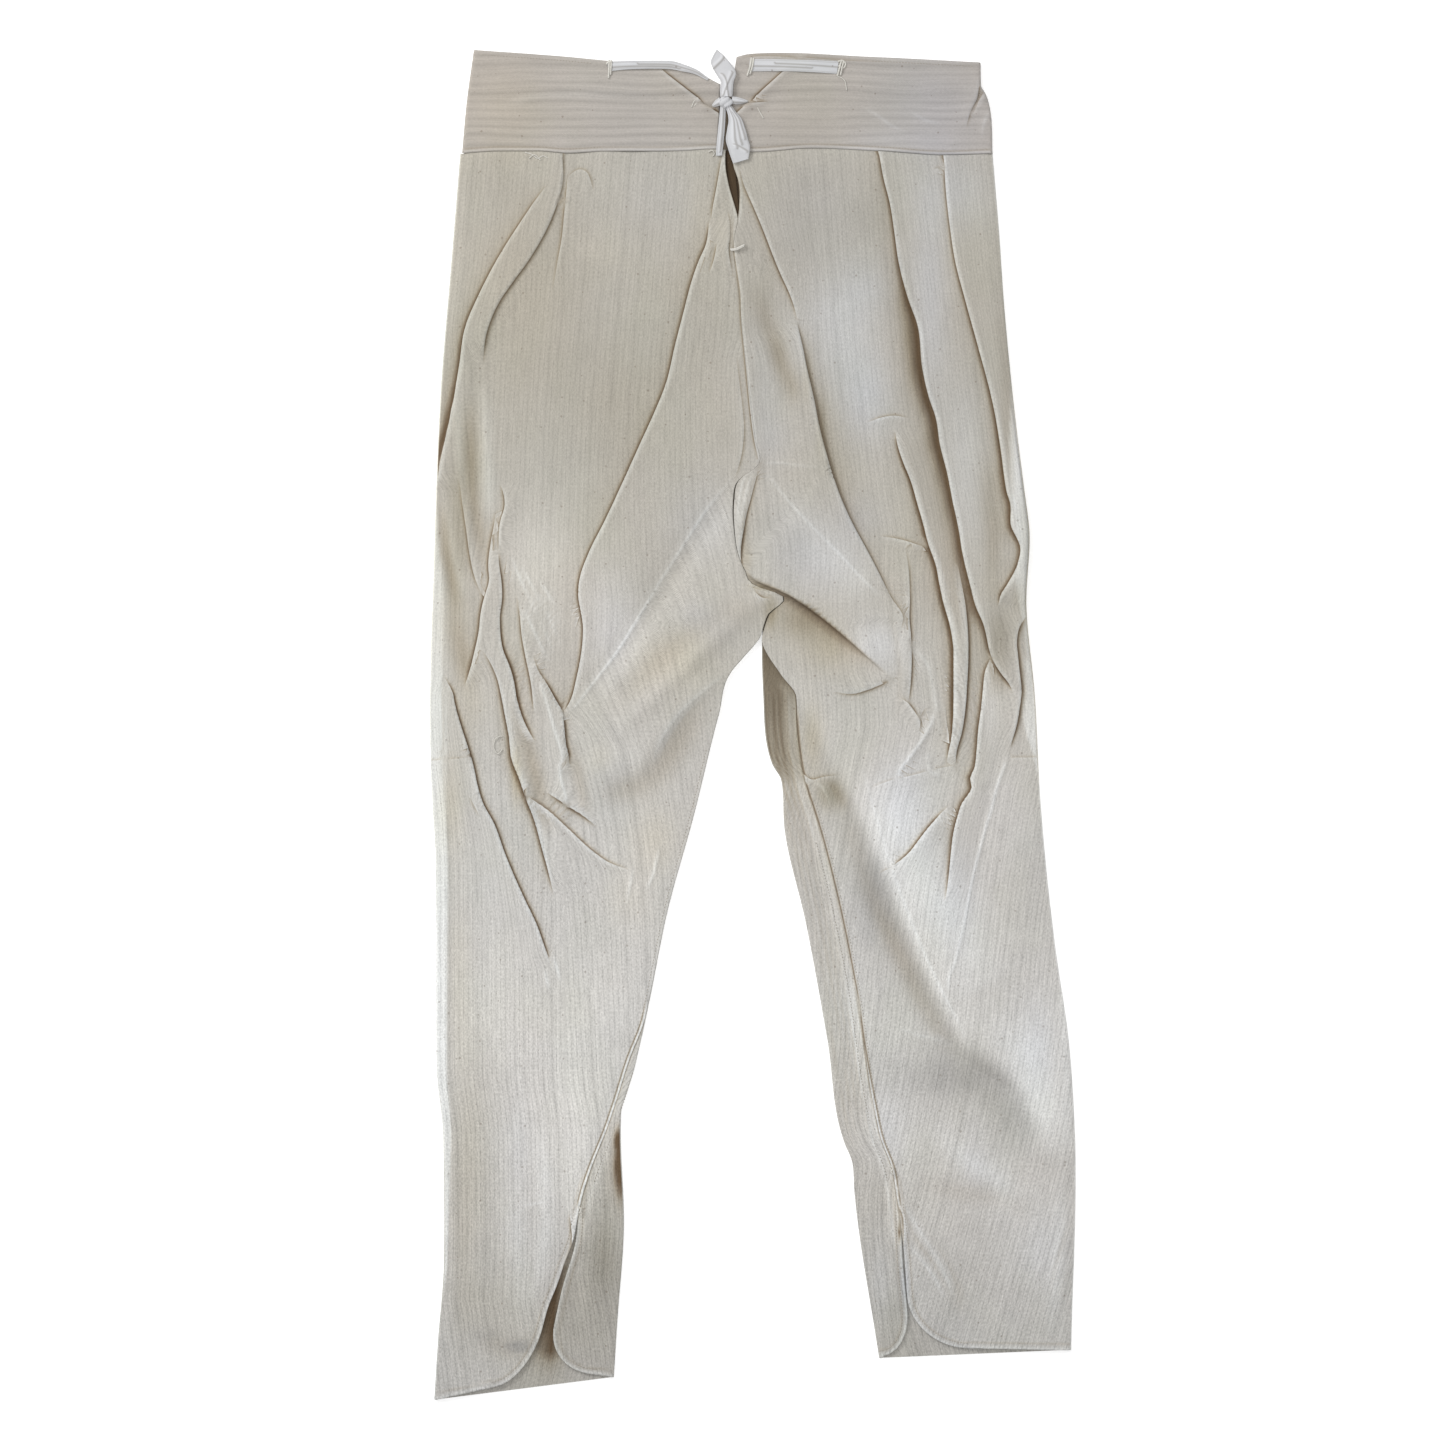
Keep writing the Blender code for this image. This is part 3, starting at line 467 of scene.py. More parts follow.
    Crease("right knee wrinkle, first", BOTH, 0, 1.3, [
        (519, 588, 0.06), (530, 597, 0.54), (545, 607, 0.54), (557, 620, 0.48), (566, 634, 0.06)]),
    Crease("right knee wrinkle, second", BOTH, 0, 1.3, [
        (528, 588, 0.06), (543, 597, 0.54), (556, 608, 0.54), (568, 622, 0.06)]),
    Crease("right knee wrinkle, third", BOTH, 0, 1.3, [
        (520, 600, 0.06), (533, 612, 0.48), (546, 626, 0.48), (556, 642, 0.06)]),
    Crease("right hip ridge, first", "right", 0, 4.5, [
        (447, 500, 0.1), (450, 530, 1.7), (455, 560, 2), (462, 585, 1.4), (466, 600, 0.1)]),
    Crease("right hip ridge, second", "right", 0, 3.5, [
        (437, 552, 0.1), (442, 575, 1.7), (444, 600, 1.7), (445, 650, 1.2), (446, 680, 0.3)]),
    Crease("right shin ridge", "right", 0, 1.8, [
        (445.5, 690, 0.2), (446, 730, 0.6), (445.5, 800, 0.7), (445.5, 900, 0.7), (445.5, 1000, 0.7),
        (446, 1100, 0.6), (445.5, 1180, 0.1)]),
    Crease("right waist arch", BOTH, -1, 4, [
        (568, 178, 0.1), (573, 172, 0.5), (580, 169, 0.6), (587, 172, 0.7), (591, 180, 0.8),
        (593, 190, 0.1)]),
    Crease("right box seam", BOTH, -1, 4, [
        (557.6, 199.5, 0.3), (560, 200, 1.5), (563, 201, 1.5), (566.4, 202.2, 0.3)]),
    Crease("left box seam", BOTH, -1, 4, [(934, 168, 0.1), (938, 166, 0.6), (943.6, 165, 0.3)]),
    Crease("fly flank, right", BOTH, 1, 8, [
        (722, 158, 0.2), (719, 172, 1.3), (715, 192, 1.5), (711.8, 210, 1.2), (711, 219, 0.1)]),
    Crease("left thigh strand", BOTH, 0, 2.6, [
        (884, 590, 0.1), (896, 640, -0.6), (900, 690, -0.5), (896, 720, -0.1)]),
    Crease("left hip shade", BOTH, 0, 8, [
        (985, 455, -0.2), (990, 500, -1), (993, 540, -1.3), (992, 575, -0.9), (988, 600, -0.2)]),
    Crease("left hip dent", BOTH, 0, 7, [
        (1003, 300, -0.1), (1006, 350, -0.6), (1008, 400, -0.9), (1010, 450, -0.9), (1014, 500, -0.6),
        (1020, 530, -0.1)]),
    Crease("right hip trough, first", "right", 0, 5, [
        (440, 500, -0.1), (444, 525, -1.5), (447, 555, -1.9), (452, 580, -1.7), (456, 610, -0.5)]),
    Crease("right hip trough, second", "right", 0, 5, [
        (470, 400, -0.1), (471, 450, -1.4), (474, 500, -1.7), (480, 540, -1.4), (482, 570, -0.1)]),
    Crease("right hip ridge, third", "right", 0, 5, [
        (484, 380, 0.1), (486, 420, 1.5), (488, 460, 1.9), (490, 500, 1.4), (490, 520, 0.1)]),
    Crease("right hip ridge, fourth", "right", 0, 4, [
        (458, 380, 0.1), (459, 420, 1.2), (461, 460, 1.4), (464, 490, 0.1)]),
    Crease("right thigh trough", "right", 0, 7, [
        (456, 610, -0.1), (460, 640, -1.5), (463, 665, -1.7), (465, 690, -0.3)]),
    Crease("right knee trough", "right", 0, 8, [
        (517, 700, -0.1), (526, 740, -1.5), (535, 775, -2), (543, 810, -1.5), (550, 840, -0.1)]),
    Crease("right knee pucker", "right", 1, 6, [(470, 797, 0.1), (474, 806, 0.8), (479, 815, 0.1)]),
    Crease("right knee trough, second", "right", 0, 6, [
        (570, 740, -0.1), (577, 770, -1.2), (583, 800, -1), (585, 820, -0.1)]),
    Crease("right shin forks", "right", 0, 1.8, [(553, 955, 0.1), (556, 965, 1), (561, 982, 0.1)]),
    Crease("right shin forks, second", "right", 0, 1.8, [(545, 970, 0.1), (547, 980, 0.9), (549, 990, 0.1)]),
    Crease("right ankle shade", "right", 0, 8, [
        (478, 1337, -0.14), (495, 1344, -0.72), (512, 1349, -0.9), (527, 1345, -0.72), (536, 1334, -0.14)]),
    Crease("thigh pucker, first", "right", 0, 1.8, [
        (511, 556, 0.2), (520, 578, 1), (532, 603, 1.2), (545, 630, 1), (553, 652, 0.2)]),
    Crease("thigh pucker, second", "right", 0, 1.8, [
        (521, 566, 0.2), (534, 590, 1.1), (548, 616, 1.2), (561, 646, 0.2)]),
    Crease("thigh pucker, third", "right", 0, 1.8, [
        (522, 601, 0.2), (530, 622, 1.1), (540, 644, 1), (549, 662, 0.2)]),
    Crease("thigh pucker, fourth", "right", 0, 1.8, [(538, 578, 0.2), (552, 600, 1), (566, 626, 0.2)]),
    Crease("strip fold", "left", -1, 8, [
        (802, 772, 0.1), (811, 779, 1.1), (822, 776.5, 0.8), (838, 775, 0.1)]),
    Crease("strip fold, ridge", "left", 0, 1.4, [
        (815, 782, 0.1), (822, 787, 1), (827, 795, 1), (830, 806, 0.1)]),
    Crease("strip fold, shade", "left", 0, 5, [
        (826, 780, -0.2), (834, 787, -1.2), (841, 798, -1.2), (846, 812, -0.2)]),
    Crease("gusset trough", "left", 0, 8, [
        (752, 285, -0.2), (763, 312, -0.9), (773, 340, -1.5), (783, 368, -1.6), (793, 390, -1),
        (801, 404, -0.2)]),
    Crease("right ankle ridge", "right", 0, 8, [
        (515, 1190, 0.1), (517, 1230, 0.8), (520, 1280, 0.9), (524, 1320, 0.2)]),
    Crease("right ankle ridge, second", "right", 0, 7, [
        (538, 1130, 0.2), (545, 1180, 1), (546, 1230, 1), (538, 1280, 0.8), (530, 1310, 0.1)]),
    Crease("right ankle crease", "right", 0, 2.2, [
        (512, 1212, 0.1), (525, 1206, 0.5), (545, 1201, 0.6), (562, 1193, 0.1)]),
    Crease("left knee strand", "left", 0, 3, [
        (906, 640, 0.1), (925, 660, 0.5), (935, 700, 0.5), (940, 740, 0.1)]),
    Crease("left ankle ridge", "left", 0, 9, [
        (935, 1130, 0.2), (965, 1160, 0.9), (1000, 1185, 0.8), (1015, 1210, 0.1)]),
    Crease("left ankle trough", "left", 0, 8, [
        (925, 1185, -0.2), (960, 1192, -0.7), (1000, 1200, -0.6), (1030, 1215, -0.1)]),
    Crease("left foot ridge", "left", 0, 6, [
        (1062, 1180, 0.1), (1060, 1230, 0.8), (1056, 1280, 0.8), (1052, 1330, 0.2)]),
    Crease("left side ridge", "left", 0, 5, [
        (1062, 960, 0.1), (1066, 1020, 0.8), (1068, 1080, 0.9), (1066, 1140, 0.4)]),
    Crease("storage fold, left", "left", -1, 16, [
        (872, 787, 0.1), (890, 780, 0.4), (911, 775, 0.5), (938, 768, 0.5), (960, 764, 0.2)]),
    Crease("storage fold, left edge", "left", -1, 20, [(1003, 760, 0.1), (1015, 757, 0.5), (1044, 757, 0.5)]),
    Crease("storage fold, right edge", "right", -1, 20, [(424, 761, 0.5), (446, 759, 0.5), (470, 757, 0.1)]),
]
print("creases:", len(CREASES), "with", sum(len(crease.line) for crease in CREASES), "points")

# %% [markdown]
# A crease line picked by eye is a little angular, so a smooth curve is run through its points. For every
# point of the cloth the nearest place on that curve gives three things: how far away the crease is and on
# which side, which way is straight across it, and how much the cloth rises there.

# %% Where the cloth lies beside a crease
LINE_STEP = 4.0
END_FADE = 5.0


def walked(line):
    """How far along a line each of its points is: the lengths of the steps before it, added up."""
    return np.r_[0, np.cumsum(np.hypot(*np.diff(line[:, :2], axis=0).T))]


def resampled(rows, along, at):
    """The columns of a line, each smoothed along the line's length and read at new places."""
    return np.stack([smooth(np.stack([along, column], axis=1), at) for column in rows.T], axis=1)


def curve_through(line):
    """The same line with a point every few millimetres, in the garment's millimetres."""
    rows = from_photo(line)
    along = walked(rows)
    return resampled(rows, along, np.linspace(0, along[-1], int(along[-1] / LINE_STEP) + 2))


def beside(curve, points):
    """Signed distance (positive to the picture's right), direction across, rise, and fade past the ends."""
    start, step = curve[:-1, :2], np.diff(curve[:, :2], axis=0)
    length = np.hypot(*step.T)
    apart = points[:, None] - start
    share = (apart * step).sum(axis=2) / length**2
    foot = np.clip(share, 0, 1)
    distance = np.hypot(*np.moveaxis(apart - foot[..., None] * step, 2, 0))
    best = distance.argmin(axis=1)
    row = np.arange(len(points))
    away = step[best]
    sign = np.sign(away[:, 0] * apart[row, best, 1] - away[:, 1] * apart[row, best, 0])
    over = (share - foot)[row, best] * length[best]
    rise = curve[best, 2] + foot[row, best] * (curve[best + 1, 2] - curve[best, 2])
    across = np.stack([-away[:, 1], away[:, 0]], axis=1) / length[best, None]
    return sign * distance[row, best], across, rise, np.exp(-((over / END_FADE) ** 2))


def near(curve, points, reach):
    """Which points lie in the box round a curve, grown by a reach."""
    low, high = curve[:, :2].min(axis=0) - reach, curve[:, :2].max(axis=0) + reach
    return np.nonzero(np.all((points > low) & (points < high), axis=1))[0]


CURVES = [(crease, curve_through(crease.line)) for crease in CREASES]
print("longest crease:", max(len(curve) for _, curve in CURVES) * LINE_STEP, "mm")

# %% [markdown]
# A grid with even spacing would blur a crease over the width of a face. So the points of the grid are first
# drawn towards the crease lines, the closest ones most, and the faces there become as narrow as the turn of
# the cloth. Points at the edges of a piece stay where they are.

# %% Draw the grid together at the creases
DRAW_REACH = 12.0
FULL_DRAW = 0.7
SOFT = 2
PAST_END = 30.0


def drawn_in(curves, side, points, free):
    """Points moved across their nearest crease: a distance d becomes d times |d| over the reach.

    The reach is at most half the way to the next crease, so that each crease keeps its own points.
    """
    count = len(points)
    first, second = np.full(count, DRAW_REACH), np.full(count, 3 * DRAW_REACH)
    moved = np.zeros(points.shape)
    strength = np.zeros(count)
    for crease, curve in curves:
        broad = crease.high == 0 and crease.spread > 2 * DRAW_REACH
        index = near(curve, points, 2 * DRAW_REACH)
        if side.name not in crease.panel or abs(crease.high) == SOFT or broad or len(index) == 0:
            continue
        distance, across, rise, fade = beside(curve, points[index])
        away = np.abs(distance) + PAST_END * (1 - fade)
        closest = away < first[index]
        after = np.where(closest, first[index], away)
        second[index] = np.minimum(second[index], after)
        taken = index[closest]
        first[taken] = away[closest]
        moved[taken] = distance[closest, None] * across[closest]
        strength[taken] = (np.clip(rise / FULL_DRAW, 0, 1) * fade * free[index])[closest]
    reach = np.minimum(DRAW_REACH, np.maximum((first + second) / 2, 1e-6))
    share = (np.clip(first / reach, 0, 1) - 1) * strength
    return points + share[:, None] * moved


print("creases that draw the grid in:", sum(abs(crease.high) != SOFT for crease in CREASES))

# %% [markdown]
# Four small functions do most of the shaping: a smoothstep to fade one thing into another, a bell for a
# bead or a groove, smooth random waves for what no cloth is without, and a way to add marks so that they
# never pass 1.

# %% Steps, bells, waves and marks
LATTICE = 64
LATTICE_START = (5, 31)


def ease(x):
    """A smoothstep: 0 below 0, 1 above 1 and a soft S between."""
    x = np.clip(x, 0, 1)
    return x * x * (3 - 2 * x)


def bell(x, middle, width):
    """A bell curve: e to the minus square of the distance from its middle over its width."""
    return np.exp(-(((x - middle) / width) ** 2))


def combined(*marks):
    """Marks added up so that they never pass 1: one minus the product of what each leaves over."""
    left = 1.0
    for mark in marks:
        left = left * (1 - mark)
    return 1 - left


def ripple(down, across, long, wide, seed):
    """Smooth random waves: random heights on a lattice, long by wide millimetres, joined by smoothsteps."""
    lattice = np.random.default_rng(seed).uniform(-1, 1, (LATTICE, LATTICE))
    i, j = down / long + LATTICE_START[0], across / wide + LATTICE_START[1]
    row, column = np.floor(i).astype(int), np.floor(j).astype(int)
    s, t = (3 * f * f - 2 * f**3 for f in (i - row, j - column))
    row, column = row % LATTICE, column % LATTICE
    below, beyond = (row + 1) % LATTICE, (column + 1) % LATTICE
    upper = lattice[row, column] * (1 - t) + lattice[row, beyond] * t
    lower = lattice[below, column] * (1 - t) + lattice[below, beyond] * t
    return upper * (1 - s) + lower * s


print("a wave's middle value:", ripple(np.zeros(1), np.zeros(1), 10, 10, 1).round(2))

# %% [markdown]
# The height of the cloth is a sum: a base that falls away to the side fold, the creases, and slow waves that
# any laid garment has. At a crease the cloth climbs as a hyperbolic tangent, which is steep at the line and
# level beside it, and sinks back as a bell curve. The low side is drawn under the lip, so that the lip throws
# a real shadow on it. Marks go to the material with every point: "hollow", a painted brown shade where the
# cloth is low beside a lip or in a trough, "pale", a painted highlight on lips and ridges, and "light" for a
# bank that faces the lamp or turns from it. "past" and "edge" let the material draw the crease's fine painted
# shadow line and its painted lip highlight: how far a point is past the nearest line, and how strong that
# line is.

# %% Height of the cloth at creases
TURN = 0.9
LIP = 2.4
LIP_RISE = 0.15
UNDER = 0.8
MOST_UNDER = 2.6
UNDER_REACH = 7.0
HIGHEST = 11.0
HOLLOW_FULL = 7.0
STEP_HOLLOW = 0.85
LINE_FULL = 2.2
WINDOW = 6.0
NARROW = 3.2
SOFT_FULL = 1.6
# How strong the painted highlight (pale) on ridges and swells is, and the painted shade (hollow) in troughs,
# at banks and beside steps
RIDGE_PALE = 0.3
SWELL_PALE = 0.6
TROUGH_HOLLOW = 0.42
BANK_HOLLOW = 0.05
BANK_LIGHT = 0.06
BANK_SHADE = 0.13
SLIP = 4.0
FAR = 99.0


def creased(curves, side, down, across_at):
    """Rise, sideways shift, marks and slip of the pattern that creases give to places on the cloth."""
    points = np.stack([down.ravel(), across_at.ravel()], axis=1)
    count = len(points)
    found = {key: np.zeros(count) for key in ("rise", "hollow", "pale", "light", "slip", "past", "edge")}
    found["shift"] = np.zeros(points.shape)
    first, second = np.full(count, FAR), np.full(count, FAR)

    def add_mark(mark, index, amount):
        found[mark][index] = combined(found[mark][index], np.clip(amount, 0, 1))

    for crease, curve in curves:
        index = near(curve, points, 2.2 * crease.spread + 8)
        if side.name not in crease.panel or len(index) == 0:
            continue
        distance, across, rise, fade = beside(curve, points[index])
        rise = rise * fade
        body = bell(distance, 0, crease.spread)
        ridge = crease.high == 0 and crease.spread < NARROW
        bank = abs(crease.high) == SOFT
        away = np.abs(distance) + PAST_END * (1 - fade)
        if bank or crease.high == 0 and not ridge:
            away = away + FAR
        closer = away < first[index]
        second[index] = np.where(closer, first[index], np.minimum(second[index], away))
        taken = index[closer]
        first[taken] = away[closer]
        if ridge:
            found["past"][taken] = 0.6 + away[closer] / 0.9
            found["edge"][taken] = 0.9 * np.clip(rise, 0, 1)[closer]
        if crease.high == 0:
            found["rise"][index] += rise * body
            # A ridge gets a painted highlight, a trough a painted shade
            add_mark("pale", index, (RIDGE_PALE if ridge else SWELL_PALE) * rise / SOFT_FULL * body)
            add_mark("hollow", index, -TROUGH_HOLLOW * rise / SOFT_FULL * body)
            continue
        s = np.sign(crease.high) * distance
        if bank:
            climb = ease(0.5 + s / crease.spread)
            top = rise * climb * bell(s, 0, 1.6 * crease.spread)
            foot = rise * (1 - climb) * np.exp(np.minimum(s, 0) / crease.spread)
            found["rise"][index] += top
            # Painted light on the top of a bank, painted shade at its foot
            found["light"][index] += BANK_LIGHT * top - BANK_SHADE * foot
            add_mark("hollow", index, BANK_HOLLOW * foot)
            continue
        climb = 0.5 + 0.5 * np.tanh(s / TURN)
        found["rise"][index] += rise * climb * (body + LIP_RISE * bell(s, LIP, LIP))
        most = np.minimum(UNDER * rise, MOST_UNDER)
        under = most * (1 - climb) * bell(s, 0, UNDER_REACH)
        found["shift"][index] += (crease.high * under)[:, None] * across
        past = np.where(s < 0, np.minimum(s + under - most / 2, 0), s)
        # Painted brown shade on the low side of a step; past and edge let the material draw its painted
        # shadow line and lip highlight
        shade = np.exp(np.minimum(past, 0) / (1.5 + 0.2 * crease.spread)) * ease((3 - s) / 2)
        add_mark("hollow", index, STEP_HOLLOW * crease.shade * shade * np.clip(rise / HOLLOW_FULL, 0, 1))
        found["past"][taken] = (past / (0.9 + 0.35 * np.minimum(rise, 5)))[closer]
        found["edge"][taken] = (crease.edge * np.clip(rise / LINE_FULL, 0, 1) ** 0.7)[closer]
        found["slip"][index] += SLIP * np.minimum(rise, 3) * climb * body
    found["edge"] *= ease((np.minimum(WINDOW, (first + second) / 2) - first) / 2.5)
    found["rise"] = HIGHEST * np.tanh(found["rise"] / HIGHEST)
    return {key: value.reshape(*down.shape, *value.shape[1:]) for key, value in found.items()}


kinds = {"steps": 1, "banks": SOFT, "ridges and troughs": 0}
print({kind: sum(abs(crease.high) == high for crease in CREASES) for kind, high in kinds.items()})

# %% [markdown]
# Each leg is one piece of cloth: the front, round the side fold, the back, and the strip that is turned
# over to the front at the inseam. The grid runs that way round in its columns and down the leg in its rows.
# The underside stays flat on the table. Hems are a little thicker and end in a bead, where the cloth is
# turned in.

# %% Levels and hems of a leg
CLOTH_WALL = 0.7
BACK_LEVEL = 0.5
TURNED_LEVEL = 2.0
FRONT_LEVEL = 3.6
EDGE_LEVEL = 2.6
SIDE_LEVEL = 2.6
VENT_ROWS = 36
VENT_START = 905.0
HEM = 4.6
BEAD = 0.9


def line_of(down, across):
    """A row of places as a curve that beside can measure from."""
    return np.stack([down, across, np.ones(len(down))], axis=1)


def vent_rows(end):
    """Rows from the start of the vent to its end, closer together towards the end."""
    return VENT_START + (end - VENT_START) * np.sin(np.linspace(0, np.pi / 2, VENT_ROWS))


def front_hem(side):
    """The vent's free edge and the foot of the front, as one line."""
    down = vent_rows(side.corner[0])
    return line_of(np.r_[down, side.outer[-1][0]], np.r_[front_edge(side, down), side.outer[-1][1]])


def flap_hem(side):
    """The vent's other free edge and the foot of the turned-over strip."""
    down = vent_rows(side.flap_corner[0])
    return line_of(np.r_[down, side.inner[-1][0]], np.r_[flap_edge(side, down), side.inner[-1][1]])


def hem_marks(hem, down, across):
    """Extra height, hollow and pale marks near a hem: a bead at the edge and a stitched groove inside it."""
    points = np.stack([down.ravel(), across.ravel()], axis=1)
    away = np.full(len(points), FAR)
    index = near(hem, points, 3 * HEM)
    away[index] = np.abs(beside(hem, points[index])[0])
    away = away.reshape(down.shape)
    bead = bell(away, BEAD, BEAD)
    # The stitched groove gets a painted shade and the bead a painted highlight
    return 0.3 * (1 - ease((away - HEM) / 1.2)) + 0.4 * bead, 0.28 * bell(away, HEM, 0.7), 0.55 * bead


HEMS = {side.name: (front_hem(side), flap_hem(side)) for side in (RIGHT, LEFT)}
print("points on each hem:", {name: [len(hem) for hem in hems] for name, hems in HEMS.items()})

# %% [markdown]
# The height of the front adds a base level, the creases, slow waves, the hem and a narrow bead along the
# inner seam, where the cloth lies in several layers. A strip along the side folds is marked pale, a painted
# highlight, and the beads get a painted highlight too. A fine hollow line, a painted shadow, is what is seen
# of a sewn seam.

# %% Height of the front
CREST_INSIDE = 9.0
SEAM_START = {"right": 756.0, "left": 520.0}
SEAM_END = VENT_START + 24
FLY_END = 142.0
ANKLE_START = 780.0
ANKLE_FADE = 60.0
# Where the side folds get a painted highlight: (down, width of the pale strip)
SIDE_HIGHLIGHT = {
    "right": [(83, 0), (330, 0), (400, 5), (440, 9), (570, 11), (700, 10), (860, 7.5), (920, 5), (980, 3),
              (1020, 0), (1080, 0)],
    "left": [(83, 0), (270, 2), (310, 8), (380, 12), (430, 9), (470, 3), (520, 10), (545, 9), (568, 4),
             (600, 0), (1040, 0)],
}


def front_height(side, down, across):
    """The front's height and marks: base, creases, hem, seam bead and slow waves added up."""
    outer = np.abs(smooth(side.outer, down) - across)
    seam = np.abs(front_edge(side, down) - across)
    base = SIDE_LEVEL + (FRONT_LEVEL - SIDE_LEVEL) * ease(outer / CREST_INSIDE)
    low_edge = (FRONT_LEVEL - EDGE_LEVEL) * (1 - ease(seam / 14)) * ease((down - 540) / 60)
    found = creased(CURVES, side, down, across)
    slow = 0.6 * ripple(down, across, 95, 42, 3) + 0.35 * ripple(down, across, 46, 21, 4)
    fine = 0.10 * ripple(down, across, 19, 8.5, 5) + 0.05 * ripple(down, across, 8, 5, 6)
    raised, groove, bead = hem_marks(HEMS[side.name][0], down, across)
    sewn = ease((down - SEAM_START[side.name]) / 20) * ease((SEAM_END - down) / 10)
    fly = ease((FLY_END - down) / 10)
    ankle = ease((down - ANKLE_START) / ANKLE_FADE)
    seam_bead = bell(seam, BEAD, BEAD) * sewn * (1.0 if side is RIGHT else 0.25 + 0.6 * ankle)
    found["up"] = base - low_edge + found["rise"] + ease(outer / 12) * slow + fine + raised + 0.25 * seam_bead
    # Painted highlight on the beads, the fly's edge and a strip along the side fold; painted shadow in the
    # seam's line and the hem's groove
    side_highlight = smooth(SIDE_HIGHLIGHT[side.name], down)
    strip = ease((side_highlight - outer) / 1.6) * ease(side_highlight / 3)
    found["pale"] = combined(found["pale"], bead, seam_bead, 0.8 * fly * bell(seam, 1.2, 1.0), strip)
    line_inside, line_width = (2.3, 0.75) if side is RIGHT else (0.4 + 1.5 * ankle, 1.0 - 0.25 * ankle)
    seam_line = 0.9 * sewn * bell(seam, line_inside, line_width) + 0.5 * fly * np.exp(-seam / 0.5)
    found["hollow"] = combined(found["hollow"], groove, seam_line)
    return found


at_knee = front_height(RIGHT, np.full(1, 700.0), np.full(1, -150.0))
print("height of the right knee:", at_knee["up"].round(2), "mm")

# %% [markdown]
# A leg of cloth is stacked in layers, so the grid has to go round its folds in half circles. Between two
# edges it is made of straight rows, packed closer where a fold needs more points. The stripe of the weave
# isn't straight either: the legs were pulled askew when they were laid down, so the pattern leans below the
# hip.

# %% Rows, turns and the lean of the pattern
ROLL_STEPS = 6
# The grain of the bent legs: how far down it starts to lean, and how many millimetres it leans for each one
RIGHT_LEAN = 0.27
RIGHT_LEAN_START = [(-136, 531), (-110, 494), (-64, 435), (-43, 399), (-23, 368), (0, 340)]
NO_LEAN = 999
LEFT_LEAN = -0.25
LEFT_LEAN_START = 540.0
LEAN_FADE = 130.0
SEAM_WAVE = [(-218, 83), (-188, 81.2), (-158, 81.2), (-137, 82.7), (-103, 81.2), (-62, 81.2), (-38, 80.6),
             (-18, 79.4), (0, 80.4), (10, 81.5), (58, 78.8), (114, 81), (166, 84.4), (206, 83)]
SEAM_WAVE_FADE = 30.0


def lean(side, down, across):
    """How far the pattern slides across because the cloth is pulled askew: a slope that fades out."""
    if side is LEFT:
        return LEFT_LEAN * np.maximum(down - LEFT_LEAN_START, 0)
    start_across, start_down = np.array(RIGHT_LEAN_START, float).T
    below = np.maximum(down - np.interp(across, start_across, start_down, left=NO_LEAN), 0)
    return -RIGHT_LEAN * LEAN_FADE * (1 - np.exp(-below / LEAN_FADE))


def half_turn(down, across, low, high, outward):
    """The half-round turn of cloth round a fold, from the upper to the lower layer, ends left out."""
    angle = np.linspace(np.pi / 2, -np.pi / 2, ROLL_STEPS + 1)[1:-1]
    radius = (high - low)[:, None] / 2
    place = across[:, None] + outward * radius * (np.cos(angle) - 1)
    level = low[:, None] + radius * (1 + np.sin(angle))
    return np.stack([np.repeat(down[:, None], len(angle), axis=1), place, level], axis=2)


def across_rows(start, end, columns, closing=1.0, opening=1.0):
    """Straight rows from one line of points to another, closer together towards the end or the start."""
    share = (1 - (1 - np.linspace(0, 1, columns + 1)[None, :, None]) ** closing) ** opening
    return start[:, None] * (1 - share) + end[:, None] * share


def waved_seam(grid):
    """The waist seam isn't straight: rows near it move by the seam's wave, and less further down."""
    wave = smooth(SEAM_WAVE, grid[..., 1]) - WAIST_SEAM
    grid[..., 0] += wave * (1 - ease((grid[..., 0] - WAIST_SEAM) / SEAM_WAVE_FADE))
    return grid


print("the left pattern leans at the foot by", lean(LEFT, LENGTH, 0.0), "mm")
